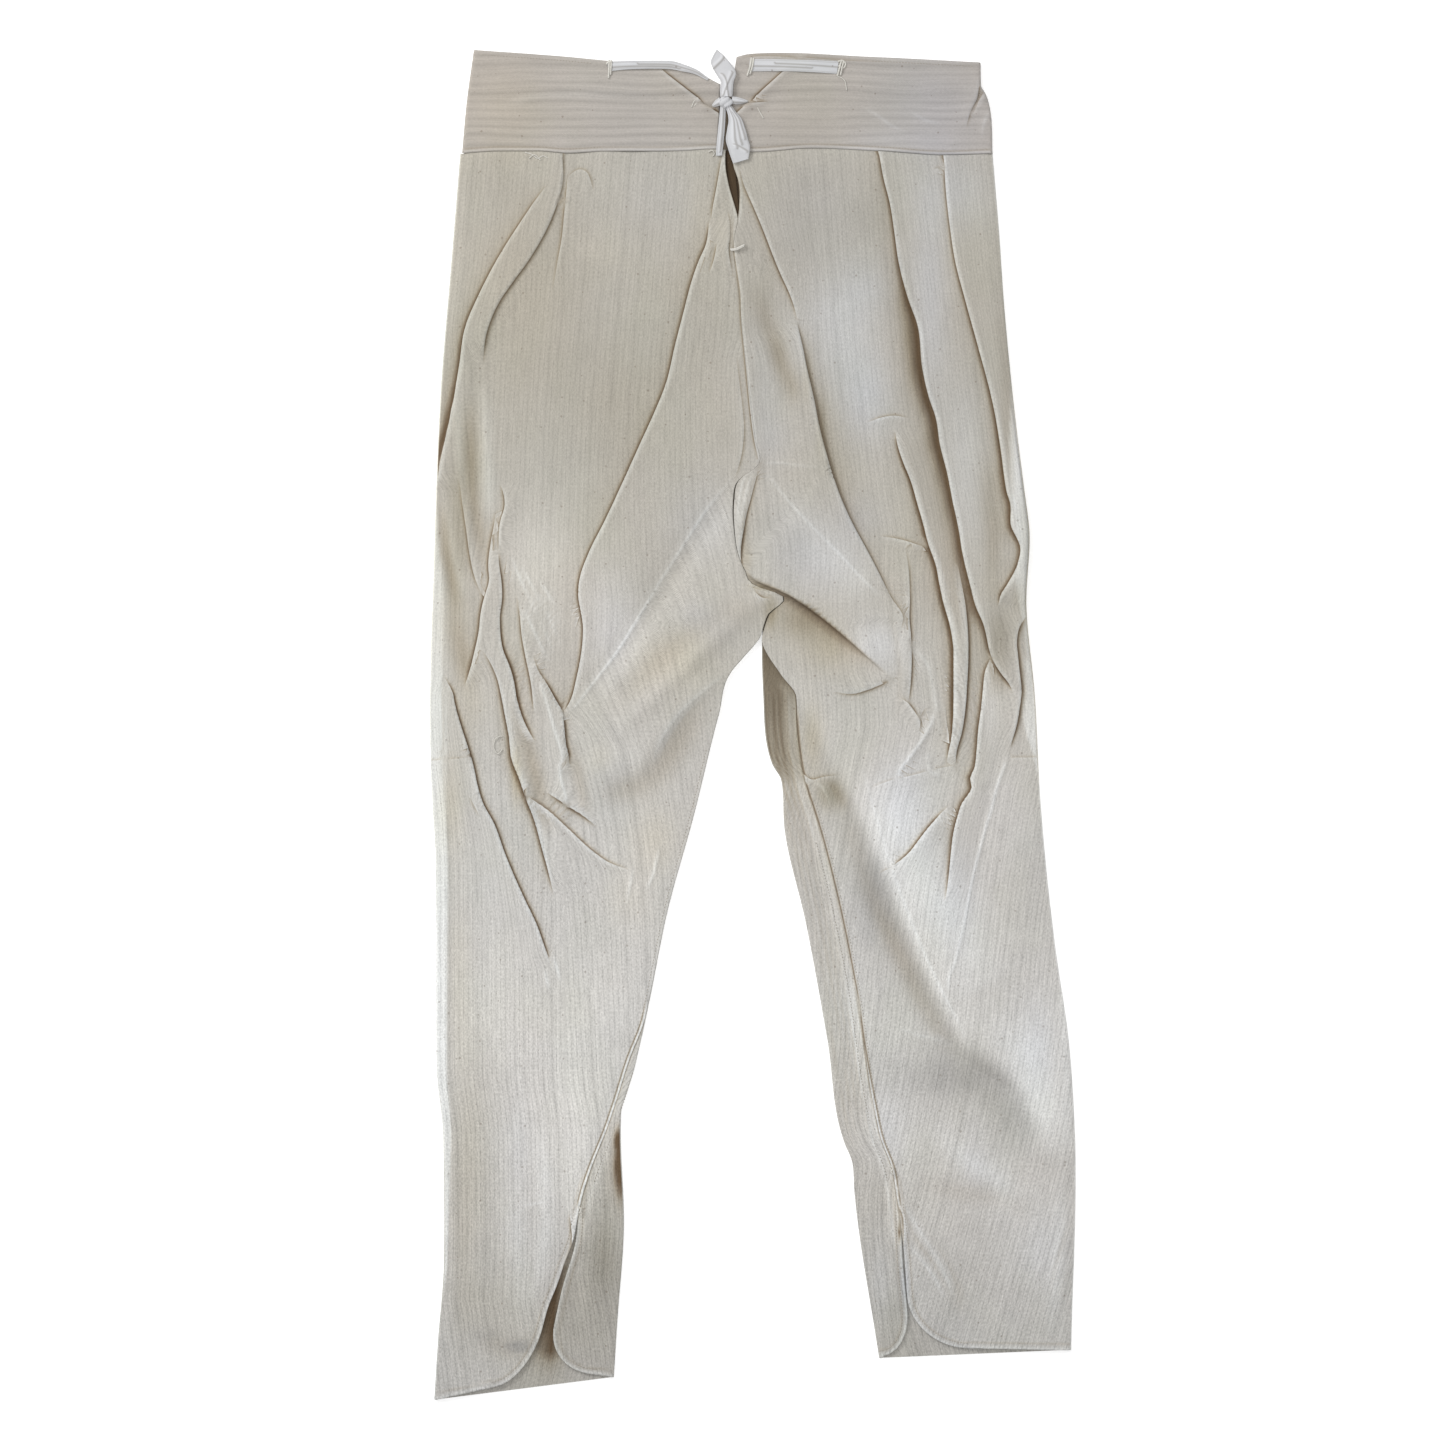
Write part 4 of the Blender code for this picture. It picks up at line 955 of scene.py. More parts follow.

# %% [markdown]
# Old cotton isn't one colour, and a laid cloth is lit unevenly over its soft waves. Soft patches, each a bell
# of a size of its own, make it lighter or darker and warmer or cooler, as they were seen in the photograph:
# some are the cloth's own tone, and many are painted shade in hollows, beside tucks and under flaps, and
# painted highlight on slopes and side edges. They are marks on the points, not paint in the material, because
# they belong to places on this garment.

# %% Tones of the old cloth, with painted light and shade, as (x, y, wide, long, light, warm)
TONES = {
    "pinkish seat by the fly": (655, 200, 52, 60, 0, -0.25),
    "greenish end of the band": (505, 110, 45, 50, 0.01, 0.7),
    "rosy band, left": (800, 110, 60, 40, 0, 0.2),
    "grey end of the band": (930, 110, 60, 50, -0.02, -0.9),
    "straw streak by the fly": (702, 215, 13, 42, 0, 0.4),
    "grey cloud at the seat": (665, 280, 34, 42, 0.01, 0.1),
    "straw front": (520, 300, 52, 110, -0.02, 0.55),
    "painted highlight on the side edge": (450, 190, 9, 130, 0.10, 0.1),
    "shaded front": (615, 400, 46, 60, -0.08, 0.4),
    "light front": (540, 560, 40, 50, 0.2, -0.3),
    "light gusset": (705, 520, 40, 44, 0.12, -0.7),
    "light thigh": (615, 630, 30, 56, 0.24, -0.9),
    "straw hip": (458, 540, 12, 70, -0.27, 1),
    "cool left seat": (820, 215, 50, 50, -0.04, -0.5),
    "light left seat": (835, 335, 42, 60, 0.2, -1.2),
    "light by the seam": (765, 400, 20, 80, 0.03, -0.7),
    "left gusset": (800, 540, 40, 40, -0.06, -0.6),
    "left front": (930, 300, 20, 110, 0.13, -1.2),
    "left hip": (965, 460, 22, 90, 0.16, -0.7),
    "painted shadow under the flap": (830, 648, 30, 24, -0.10, 1),
    "painted shadow under the flap, below": (800, 622, 20, 16, -0.26, 1),
    "brown hip": (1000, 640, 14, 40, -0.36, 0.9),
    "light left knee": (905, 800, 36, 52, 0.12, -0.7),
    "light left shin": (955, 905, 26, 60, -0.02, -0.4),
    "grey side of the shin": (1035, 900, 22, 70, -0.07, 0),
    "light calf": (1038, 1040, 20, 50, 0.05, -0.5),
    "grey calf": (955, 1075, 60, 26, -0.34, 0),
    "grey calf, side": (1010, 1120, 20, 34, -0.12, -0.1),
    "light ankle": (985, 1165, 30, 26, 0.05, -0.2),
    "straw side of the shin": (470, 1150, 22, 90, -0.18, 0.8),
    "straw side of the shin, upper": (458, 980, 14, 90, -0.05, 0.6),
    "light shin": (570, 1120, 34, 90, 0.22, -0.1),
    "brown foot": (490, 1310, 42, 45, -0.13, 0.6),
    "grey knee": (610, 790, 22, 26, -0.06, -0.4),
    "straw knee": (655, 840, 24, 34, 0.02, 0.8),
    "pinkish knee": (630, 900, 26, 30, 0.02, 0.4),
    "shadow of the front tuck, top": (904, 300, 6, 20, -0.2, 0.9),
    "shadow of the front tuck, upper": (910, 334, 7, 22, -0.34, 1.2),
    "shadow of the front tuck, first": (915, 370, 7, 22, -0.28, 0.9),
    "shadow of the front tuck, second": (923, 402, 5, 22, -0.2, 0.5),
    "shadow of the front tuck, third": (931, 437, 5, 22, -0.2, 0.5),
    "shadow of the front tuck, fourth": (938.5, 472, 5, 22, -0.2, 0.5),
    "shadow of the front tuck, fifth": (945.5, 506, 4.5, 22, -0.16, 0.4),
    "painted shade in the fold of the ankle": (518, 1347, 14, 5, -0.3, -0.9),
    "greyish ankle": (484, 1336, 16, 7, -0.1, -0.2),
    "painted shadow by the gusset, left": (808, 375, 5, 26, -0.1, 0.8),
    "painted shadow by the gusset, lower": (822, 425, 5, 30, -0.12, 0.8),
    "grey hip, top": (500, 180, 30, 30, -0.06, 0),
    "cool top of the left hip": (958, 190, 40, 40, 0.12, -1),
    "light foot of the band, left": (900, 141, 50, 11, 0.1, -0.4),
    "light foot of the band, right": (560, 141, 50, 11, 0.06, -0.1),
    "cool front of the left hip": (870, 285, 30, 36, 0.05, -0.8),
    "cool thigh": (704, 620, 26, 18, 0.03, -0.8),
    "light knee by the hook": (600, 758, 14, 16, 0.05, 0.4),
    "straw hip, upper": (470, 450, 14, 40, -0.08, 0.6),
    "straw hip, lower": (450, 625, 12, 30, -0.04, 0.5),
    "brown roll of the hip": (1019, 600, 9, 18, -0.14, 0.6),
    "light side of the left thigh": (991, 705, 9, 40, 0.22, -0.3),
    "grey cloud of the left seat": (868, 222, 16, 30, -0.07, 0),
    "grey cloud below the band": (815, 178, 40, 12, -0.05, 0),
    "light cloud of the seat": (600, 250, 26, 22, 0.05, 0.2),
    "rosy cloud of the seat": (650, 200, 40, 26, 0.02, -0.1),
    "straw thigh": (680, 665, 50, 24, -0.01, 0.5),
    "rust spot": (516, 775, 5, 26, -0.08, 1.6),
    "brown by the inseam": (829, 794, 14, 16, -0.4, 1.6),
    "painted shadow by the gusset": (747, 560, 4, 14, -0.12, 0.8),
    "painted shadow under the crotch flap": (760, 588, 9, 4, -0.22, 1.5),
    "painted shadow beside the crotch": (771, 612, 6, 16, -0.26, 1.5),
    "light flap": (820, 570, 50, 30, 0.06, -0.6),
    "light thigh by the flap": (872, 645, 34, 26, 0.34, -0.9),
    "light left hip, low": (1000, 800, 26, 50, 0.06, -0.2),
    "straw side of the knee": (450, 800, 14, 50, -0.07, 0.9),
    "straw side of the thigh": (470, 700, 14, 40, -0.05, 0.7),
    "painted shade in the fold of the gusset": (766, 305, 9, 34, -0.13, 0.2),
    "painted shade in the fold of the gusset, low": (779, 352, 9, 24, -0.14, 0.5),
    "painted shade in the fold of the gusset, foot": (793, 386, 9, 18, -0.1, 0.4),
    "light gusset, low": (775, 440, 24, 26, 0.03, -0.4),
    "straw by the fly": (722, 225, 10, 36, 0.03, 0.3),
    "grey by the fly": (702, 330, 22, 60, -0.06, 0.2),
    "light turned strip by the vent": (583, 1290, 8, 26, 0.12, 0),
    "painted shade at the side of the strip by the vent": (607, 1180, 6, 30, -0.12, 0.4),
    "painted shadow on the strip by the vent": (904, 1286, 5, 26, -0.16, -0.6),
    "olive side of the shin": (462, 1250, 12, 90, -0.08, 0.4),
    "light shin, low": (575, 1190, 14, 50, 0.1, 0),
    "pale middle of the shin": (520, 1150, 12, 60, 0.07, -0.3),
    "light calf, middle": (975, 1150, 16, 50, 0.05, -0.2),
    "light ankle, side": (1003, 1190, 14, 40, 0.08, -0.2),
    "light shin, upper": (500, 1000, 40, 50, 0.09, 0),
    "light shin, middle": (600, 1000, 35, 50, 0.07, 0),
    "painted shade on the turned strip": (604, 1250, 14, 36, -0.18, 0.6),
    "light foot of the strip": (612, 1342, 22, 12, 0.08, 0),
    "light front of the left leg": (868, 400, 30, 50, 0.11, -1.3),
    "cool front of the left leg": (860, 520, 26, 30, 0.02, -0.8),
    "painted shade on the knee by the inseam": (812, 740, 11, 34, -0.1, 1.2),
    "painted shade on the shin by the inseam": (870, 900, 18, 44, -0.2, -0.3),
    "light shin by the inseam": (850, 1000, 12, 40, 0.07, -0.4),
    "light calf by the inseam": (885, 1135, 22, 40, 0.10, -0.5),
    "light side of the calf": (1040, 1250, 24, 44, 0.14, -0.4),
    "light turned strip": (880, 1280, 12, 44, 0.15, -0.4),
    "painted highlight on the strip by the hip": (1017, 460, 7, 80, 0.25, -0.8),
    "grey front of the right leg": (560, 330, 70, 150, -0.07, 0),
    "grey front of the left leg": (790, 230, 60, 70, -0.03, 0),
}
# How light the cloth is down the legs as a whole, and the painted shade, darker and browner, where it is
# turned over to show its inside
DOWN_LIGHT = [(0, -0.02), (78, -0.02), (83, -0.05), (300, -0.04), (400, 0.04), (500, 0.12), (640, 0.22),
              (800, 0.30), (900, 0.24), (980, 0.13), (1080, 0.08)]
TURNED_LIGHT = {
    "right": [(83, 0), (840, -0.10), (890, -0.16), (940, -0.22), (980, -0.30), (1010, -0.28), (1062, -0.18)],
    "left": [(83, 0), (470, -0.56), (500, -0.48), (540, -0.40), (578, -0.34), (590, -0.12), (700, -0.1),
             (850, -0.12), (920, -0.15), (1046, -0.16)],
}
# Painted light on the side turn, which faces away from the lamp
RIM_LIGHT = [(83, 0), (250, 0.05), (300, 0.3), (560, 0.3), (640, 0.15), (1080, 0.1)]
TOP_WARMTH = 0.2
WARMTH_LOST = 0.85


def toned(grid):
    """The light and warm marks of every point: the patches' bells and the change down the legs, added up."""
    down, across = grid[..., 0], grid[..., 1]
    light, warm = smooth(DOWN_LIGHT, down), TOP_WARMTH - WARMTH_LOST * ease((down - 300) / 400)
    for x, y, wide, long, lighter, warmer in TONES.values():
        at_down, at_across = from_photo([(x, y)])[0]
        patch = bell(down, at_down, long * PIXEL) * bell(across, at_across, wide * PIXEL)
        light = light + lighter * patch
        warm = warm + warmer * patch
    return light, warm


print("tones:", len(TONES))

# %% [markdown]
# Where the garment is open, at the fly and at the foot of the vents, the inside of the back shows, and it is
# darker there because little light gets in: a painted shade. The strip turned over to the front has ribs and
# its felled seam, with painted shade in the ribs and under the front's edge, and a painted brown shade near
# the crotch.

# %% The inside and the turned-over strip
SEAT_DARK = 0.42
# Where the dark inside shows through an opening: (down, across, reach down, reach across, mark)
SEAT_INSIDE = [(105, -2, 46, 16, 1.5), (430, 15, 24, 24, 0.9), (365, -2, 26, 14, 0.9)]
VENT_INSIDE = [(1018, -151.5, 26, 11, 2.8), (988, -142, 18, 8, 2.0), (960, -131, 12, 8, 0.8)]
BACK_INSIDE = {"right": SEAT_INSIDE + VENT_INSIDE, "left": SEAT_INSIDE}
STRIP_INSIDE = {
    "right": SEAT_INSIDE + [(894, -91, 24, 6, 1.8), (874, -93.5, 12, 4, 1.4)],
    "left": SEAT_INSIDE + [(946, 131.5, 7, 1.2, 1)],
}
FELL_INSIDE = 1.6
FELL_OUTSIDE = 7.0
FELL_WIDTH = 0.8
FELL_PALE = {"right": 0.35, "left": 0.8}
STRIP_RIBS = (8.8, 13.5, 18.5, 24.5, 31)
RIB_SHADE = [(470, 0.5), (590, 0.5), (620, 0.22), (840, 0.2), (890, 0.0), (900, 0.0)]
CROTCH_STRIP_SHADE = [(470, 0.75), (500, 0.65), (540, 0.5), (575, 0.35), (592, 0.08), (700, 0.0)]


def inside_shade(openings, grid):
    """The hollow mark of the inside: a bell round each opening, where the strongest counts."""
    shade = np.zeros(grid.shape[:2])
    for down, across, long, wide, mark in openings:
        dark = mark * bell(grid[..., 0], down, long) * bell(grid[..., 1], across, wide)
        shade = np.maximum(shade, np.minimum(dark, 1))
    return shade


def turned_strip(side, over):
    """The strip's points with their height, its hollow and pale marks, and where its seam is felled."""
    down, across = over[..., 0], over[..., 1]
    raised, groove, bead = hem_marks(HEMS[side.name][1], down, across)
    past_front = side.outward * (front_edge(side, down) - across)
    sewn = ease((down - 500) / 30) * ease((VENT_START + 60 - down) / 20)
    # Painted shadow under the front's edge, painted shade near the crotch and in the ribs, and a painted
    # highlight on the bead and the fell's rows
    under_edge = np.exp(-np.abs(past_front) / 1.1) * sewn
    rows = bell(past_front, FELL_INSIDE, FELL_WIDTH) + 0.7 * bell(past_front, FELL_OUTSIDE, FELL_WIDTH)
    fell = sewn * rows
    waves = 0.35 * ripple(down, across, 60, 11, 12) + 0.12 * ripple(down, across, 20, 9, 11)
    felled = ease(past_front / 1.5) * (1 - ease((past_front - 9) / 2)) * sewn
    ribs = smooth(RIB_SHADE, down) * sum(bell(past_front, at, 1.3) for at in STRIP_RIBS) * sewn
    brown = smooth(CROTCH_STRIP_SHADE, down) * (side is LEFT) * (1 - 0.7 * felled)
    dark = combined(inside_shade(STRIP_INSIDE[side.name], over), groove, 0.8 * under_edge, brown, ribs)
    pale = combined(np.minimum(2 * bead, 1), FELL_PALE[side.name] * np.minimum(fell, 1))
    return np.dstack([over, TURNED_LEVEL + raised + 0.3 * fell + waves]), dark, pale, felled


seat = np.array([[(105.0, -2.0)]])
print("the inside at the fly is marked", inside_shade(SEAT_INSIDE, seat)[0, 0], "hollow")

# %% [markdown]
# Now the whole leg can be laid out: front, half turn at the side, back, half turn at the inseam and strip.
# The pattern coordinates measure along the cloth, so that the stripes run round a fold without a jump. What
# the marks say is joined from the front and from what is behind it.

# %% The grid of a leg
FRONT_COLUMNS = 132
FRONT_OPENING = 1.2
BACK_COLUMNS = 10
TURNED_COLUMNS = 22
LEG_ROWS = 240
EDGE_KEEP = 5.0
# Painted highlight on the side turn, which faces away from the lamp, and painted light on the felled strip
RIM_PALE = 0.9
FELL_LIGHT = 0.12


def sheet_marks(found, hollow, pale, light, warm):
    """The marks of a whole sheet: those found on its front, followed by those behind it."""
    behind = {"hollow": hollow, "pale": pale, "past": 0 * hollow, "edge": 0 * hollow}
    marks = {key: np.concatenate([found[key], value], axis=1) for key, value in behind.items()}
    return {**marks, "light": light, "warm": warm}


def leg_grid(side):
    """The leg's points (down, across, up), their pattern coordinates and their marks, row by row."""
    out, end = side.outward, side.corner[0]
    stations = np.r_[np.linspace(WAIST_SEAM, VENT_START, LEG_ROWS)[:-1], vent_rows(end)]
    share = (stations - WAIST_SEAM) / (end - WAIST_SEAM)
    ends = (end, side.flap_corner[0], side.outer[-1][0], side.inner[-1][0])
    front_down, flap_down, outer_down, inner_down = (
        WAIST_SEAM + share * (last - WAIST_SEAM) for last in ends)
    edge = np.stack([front_down, front_edge(side, front_down)], axis=1)
    flap = np.stack([flap_down, flap_edge(side, flap_down)], axis=1)
    outer_across, inner_across = smooth(side.outer, outer_down), smooth(side.inner, inner_down)
    side_inset, seam_inset = ((level - BACK_LEVEL + CLOTH_WALL) / 2 for level in (SIDE_LEVEL, TURNED_LEVEL))
    outer_flat = np.stack([outer_down, outer_across - out * side_inset], axis=1)
    inner_flat = np.stack([inner_down, inner_across + out * seam_inset], axis=1)

    flat = across_rows(edge, outer_flat, FRONT_COLUMNS, opening=FRONT_OPENING)
    rows, columns = flat.shape[:2]
    reach = np.hypot(*np.moveaxis(outer_flat - edge, 1, 0))[:, None]
    place = np.linspace(0, 1, columns)[None] ** FRONT_OPENING
    free = ease(np.minimum(place, 1 - place) * reach / EDGE_KEEP)
    free = free * ease(np.minimum(stations - WAIST_SEAM, end - stations) / EDGE_KEEP)[:, None]
    points = drawn_in(CURVES, side, flat.reshape(-1, 2), free.ravel()).reshape(rows, columns, 2)
    down, across = points[..., 0], points[..., 1]
    found = front_height(side, down, across)
    run = np.abs(smooth(side.outer, down) - across) + found["slip"] + lean(side, down, across)
    pattern = np.stack([run, down], axis=2)
    front = np.dstack([points + found["shift"] * free[..., None], found["up"]])

    low = np.full(rows, BACK_LEVEL)
    side_turn = half_turn(outer_down, outer_across - out * CLOTH_WALL / 2, low, front[:, -1, 2], out)
    back = across_rows(outer_flat, inner_flat, BACK_COLUMNS, 2.0)
    back = np.dstack([back, np.full(back.shape[:2], BACK_LEVEL)])
    turned = np.full(rows, TURNED_LEVEL)
    seam_turn = half_turn(inner_down, inner_across + out * CLOTH_WALL / 2, low, turned, -out)
    over, dark, pale, felled = turned_strip(side, across_rows(inner_flat, flap, TURNED_COLUMNS, 1.7))
    grid = np.concatenate([front, side_turn, back, seam_turn[:, ::-1], over], axis=1)
    behind = grid[:, columns:]
    run = np.cumsum(np.hypot(*np.moveaxis(np.diff(grid[:, columns - 1:, 1:], axis=1), 2, 0)), axis=1)
    wrapped = np.stack([pattern[:, -1:, 0] - run, behind[..., 0]], axis=2)
    pattern = np.concatenate([pattern, wrapped], axis=1)

    strip = slice(-TURNED_COLUMNS - 1, None)
    # Painted shade of the inside at the openings; painted highlight on the side turn
    hollow, highlight_behind = inside_shade(BACK_INSIDE[side.name], behind), np.zeros(behind.shape[:2])
    hollow[:, strip] = dark
    highlight_behind[:, :ROLL_STEPS - 1] = RIM_PALE
    highlight_behind[:, strip] = pale
    light, warm = toned(grid)
    # Painted shade, darker and browner, on the cloth behind the front, deepest in the openings of the seat;
    # painted light on the side turn
    darker = smooth(TURNED_LIGHT[side.name], behind[..., 0])
    light[:, :columns] += found["light"]
    light[:, columns:] += darker - SEAT_DARK * inside_shade(SEAT_INSIDE, behind)
    light[:, strip] += FELL_LIGHT * felled
    warm[:, columns:] -= 2 * darker
    rim = slice(columns, columns + ROLL_STEPS - 1)
    light[:, rim] += smooth(RIM_LIGHT, grid[:, rim, 0])
    return waved_seam(grid), pattern, sheet_marks(found, hollow, highlight_behind, light, warm)


LEG_GRIDS = {side.name: leg_grid(side) for side in (RIGHT, LEFT)}
print("points on each leg:", {name: grid.shape[:2] for name, (grid, _, _) in LEG_GRIDS.items()})

# %% [markdown] A grid becomes a mesh with one face between each four points, and a solidify modifier gives
# it the wall of the cloth.

# %% Legs
MARKS = ("hollow", "pale", "light", "warm", "past", "edge")
PIECES = {}


def cloth_piece(name, grid, pattern, wall, marks=None):
    """A mesh from a grid of points, with its pattern coordinates in metres and its marks, given its wall."""
    rows, columns = grid.shape[:2]
    corner = (np.arange(rows - 1)[:, None] * columns + np.arange(columns - 1)).ravel()
    faces = np.stack([corner, corner + 1, corner + columns + 1, corner + columns], axis=1)
    mesh = bpy.data.meshes.new(name)
    mesh.from_pydata(to_world(*np.moveaxis(grid, 2, 0)).reshape(-1, 3).tolist(), [], faces.tolist())
    uv = pattern.reshape(-1, 2)[faces.ravel()] / 1000
    mesh.uv_layers.new(name="pattern").data.foreach_set("uv", uv.astype(np.float32).ravel())
    for key in MARKS:
        values = marks[key].ravel() if marks and key in marks else np.zeros(rows * columns)
        mesh.attributes.new(key, "FLOAT", "POINT").data.foreach_set("value", values.astype(np.float32))
    mesh.shade_smooth()
    piece = placed(name, mesh)
    thicken = piece.modifiers.new("wall", "SOLIDIFY")
    thicken.thickness = wall / 1000
    thicken.offset = 0
    thicken.use_even_offset = False
    return piece


def keep_sheet(name, grid, pattern, wall, marks):
    """One cloth piece, kept under the piece's name."""
    PIECES[name] = cloth_piece(name, grid, pattern, wall, marks)


for name, (grid, pattern, marks) in LEG_GRIDS.items():
    keep_sheet(f"{name}_leg_cloth", grid, pattern, CLOTH_WALL, marks)

# %% [markdown]
# Each half of the waistband is a double strip folded round the side of the waist. Its front has soft
# creases of its own: two that run in a V from the tapes to the knot, and the crumpled end by the left hip.

# %% Waistband
BAND_WALL = 1.2
BAND_BACK = 0.75
BAND_FRONT = 3.9
BAND_COLUMNS = 130
BAND_ROWS = 48
BAND_BACK_COLUMNS = 30
BAND_SEAM = 3.6
BAND_CREASES = [
    Crease("right V", "right", -1, 7, [
        (661, 68.5, 0.3), (667, 73.5, 1.2), (685, 87.5, 1.5), (700, 99, 1.6), (709.5, 106.3, 1.8),
        (719.4, 113.8, 1)], 1.3),
    Crease("left V", "left", 1, 7, [
        (803, 55, 0.2), (796, 60, 0.8), (784, 70, 1), (779, 74.5, 1.2), (765, 87, 1.5), (748.4, 101.4, 1.6),
        (736, 113, 1)], 1.3),
    Crease("band pucker, left", "left", -1, 4, [
        (743, 102.8, 0.3), (750, 102.6, 2), (758, 101.8, 1.8), (768, 101.5, 0.1)]),
    Crease("band pucker, right", "right", -1, 4, [(700, 104, 0.2), (706, 104.5, 1.4), (713, 106, 1.4)]),
    Crease("left band fold", "left", -1, 5, [
        (742, 58, 0.1), (755, 56.5, 0.6), (800, 57.4, 0.6), (845, 60.5, 0.5), (880, 62, 0.1)]),
    Crease("hip crumple, edge", "left", -1, 8, [
        (980, 76, 0.2), (979.5, 84, 1), (978, 92, 1.8), (976.5, 99, 2), (972.6, 107, 1.4), (968.8, 118, 0.7),
        (966.5, 127, 0.1)]),
    Crease("hip crumple, bulge", "left", 1, 6, [
        (987, 87, 0.3), (983, 93, 1.3), (980, 100, 1.5), (976.5, 108, 0.8), (973, 115, 0.1)]),
    Crease("hip crumple, fold", "left", 0, 2.2, [
        (990, 112, 0.4), (986, 118, 0.7), (983, 128, 0.5), (982, 138, 0.1)]),
    Crease("band drag, first", "left", 0, 3, [
        (865, 108, 0.1), (878, 116, 0.6), (892, 126, 0.5), (905, 132, 0.1)]),
    Crease("band drag, second", "left", 0, 2.4, [(912, 113, 0.1), (925, 120, 0.5), (940, 124, 0.1)]),
    Crease("band pull, right", "right", 0, 3.5, [
        (505, 106, 0.1), (530, 98, 0.6), (580, 95, 0.5), (640, 96, 0.3), (690, 100, 0.1)]),
]
BAND_CURVES = [(crease, curve_through(crease.line)) for crease in BAND_CREASES]


def band_place(side, across, top, share):
    """Down at a share of the way from the band's top edge to the waist seam, which waves a little."""
    high = smooth(sorted(top), across)
    return high + share * (smooth(SEAM_WAVE, across) - GAP - high)


def band_height(side, down, across):
    """The band's height and marks: creases, waves, a bead along the waist seam and stitches above it."""
    found = creased(BAND_CURVES, side, down, across)
    outer = np.abs(smooth(side.band_side, down) - across)
    slow = 0.35 * ripple(down, across, 40, 60, 21) + 0.14 * ripple(down, across, 8, 30, 22)
    above_seam = smooth(SEAM_WAVE, across) - down
    bead, groove = bell(above_seam, 1.4, 1.2), bell(above_seam, BAND_SEAM, 0.7)
    top_bead = bell(down - smooth(sorted(side.band_top), across), 0.8, 0.8)
    sunk = 0.6 * (1 - ease(above_seam / 7))
    found["up"] = BAND_FRONT + found["rise"] + slow * ease(outer / 10) - sunk
    found["up"] += 0.35 * bead - 0.2 * groove + 0.2 * top_bead
    # Painted shade in the seam's groove and painted highlight on the beads
    found["hollow"] = combined(found["hollow"], 0.35 * groove)
    found["pale"] = combined(found["pale"], 0.8 * bead, 0.3 * top_bead)
    return found


def band_grid(side):
    """The band's points, pattern coordinates and marks: front, side turn and back, row by row."""
    out = side.outward
    share = np.linspace(0, 1, BAND_ROWS + 1)
    side_down, front_down = (band_place(side, np.full(share.shape, edge[0][1]), side.band_top, share)
                             for edge in (side.band_side, side.band_front))
    outer = smooth(side.band_side, side_down) - out * BAND_WALL / 2
    opening = smooth(side.band_front, front_down)
    flat = outer - out * (BAND_FRONT - BAND_BACK) / 2
    across = across_rows(opening[:, None], flat[:, None], BAND_COLUMNS)[..., 0]
    points = np.stack([band_place(side, across, side.band_top, share[:, None]), across], axis=2)
    place = np.linspace(0, 1, across.shape[1])[None]
    free = ease(np.minimum(place, 1 - place) * np.abs(flat - opening)[:, None] / EDGE_KEEP)
    free = free * ease(np.minimum(share, 1 - share) * 12)[:, None]
    points = drawn_in(BAND_CURVES, side, points.reshape(-1, 2), free.ravel()).reshape(*across.shape, 2)
    down, across = points[..., 0], points[..., 1]
    found = band_height(side, down, across)
    pattern = points.copy()
    pattern[..., 0] += 2.6 * ripple(down, across, 34, 70, 31) + 1.0 * ripple(down, across, 11, 34, 32)
    front = np.dstack([points + found["shift"] * free[..., None], found["up"]])
    turn = half_turn(side_down, outer, np.full(len(share), BAND_BACK), front[:, -1, 2], out)
    centre = np.full((len(share), 1), side.inner[0][1])
    back_across = across_rows(flat[:, None], centre, BAND_BACK_COLUMNS)[..., 0]
    back_down = band_place(side, back_across, side.band_back_top, share[:, None])
    back = np.dstack([back_down, back_across, np.full(back_across.shape, BAND_BACK)])
    grid = np.concatenate([front, turn, back], axis=1)
    behind = grid[:, across.shape[1]:]
    # Painted shade on the band's back, where it shows through the opening at the centre
    dark = 0.9 * bell(behind[..., 1], 0, 16) * ease((behind[..., 0] - 30) / 12)
    pattern = np.concatenate([pattern, behind[..., :2]], axis=1)
    return grid, pattern, sheet_marks(found, dark, 0 * dark, *toned(grid))


for side in (RIGHT, LEFT):
    grid, pattern, marks = band_grid(side)
    keep_sheet(f"{side.name}_waistband_cloth", grid, pattern, BAND_WALL, marks)

# %% [markdown]
# The tapes are narrow woven cotton: two short ones sewn down at their ends as loops for braces, and one
# pulled through two eyelets and tied at the front. A tape is a strip between two edges that were measured
# together, station by station, with its height above the waistband and how far its middle stands above its
# edges.

# %% Tapes, as stations of (x, y) on one edge, (x, y) on the other, height and crown
TAPE_WALL = 0.55
TAPE_LEVEL = 4.95
TAPE_COLUMNS = 20
TAPE_STEP = 0.5
# Folds of the tape: from (along, aside) to (along, aside) as shares of its length and width, and the rise
LOOP_FOLDS = [(0, 0.45, 0.7, 0.55, 0.14), (0.3, 0.25, 1, 0.35, 0.1)]
TAIL_FOLDS = {
    "tail up": [(0, 0.6, 0.45, 0.25, 0.7), (0.05, 0.2, 0.5, 0.75, 0.5), (0.62, 0, 0.9, 0.9, 0.5)],
    "short tail": [(0.05, 0.4, 0.9, 0.5, 0.3)],
    "long tail": [(0, 0.3, 0.75, 0.35, 0.6), (0.05, 0.7, 0.6, 0.8, 0.5), (0.15, 0.5, 0.7, 0.6, 0.35),
                  (0.72, 0.35, 0.86, 0.8, 0.5)],
    "left ear": [(0.1, 0.5, 0.9, 0.5, 0.3)],
    "right ear": [(0.1, 0.5, 0.9, 0.5, 0.3)],
}
RIGHT_LOOP = [
    (607.5, 61.6, 608.3, 71.5, 0, 0.2), (625, 61.2, 625, 69.8, 0.4, 0.3), (648, 61, 648, 69, 0.8, 0.4),
    (670, 61.2, 668, 69.2, 1, 0.4), (686, 65.5, 682, 71.5, 1, 0.5), (697, 70.2, 694, 74, 0.7, 0.5),
    (709, 78.6, 707.6, 80.6, 0.1, 0.1),
]
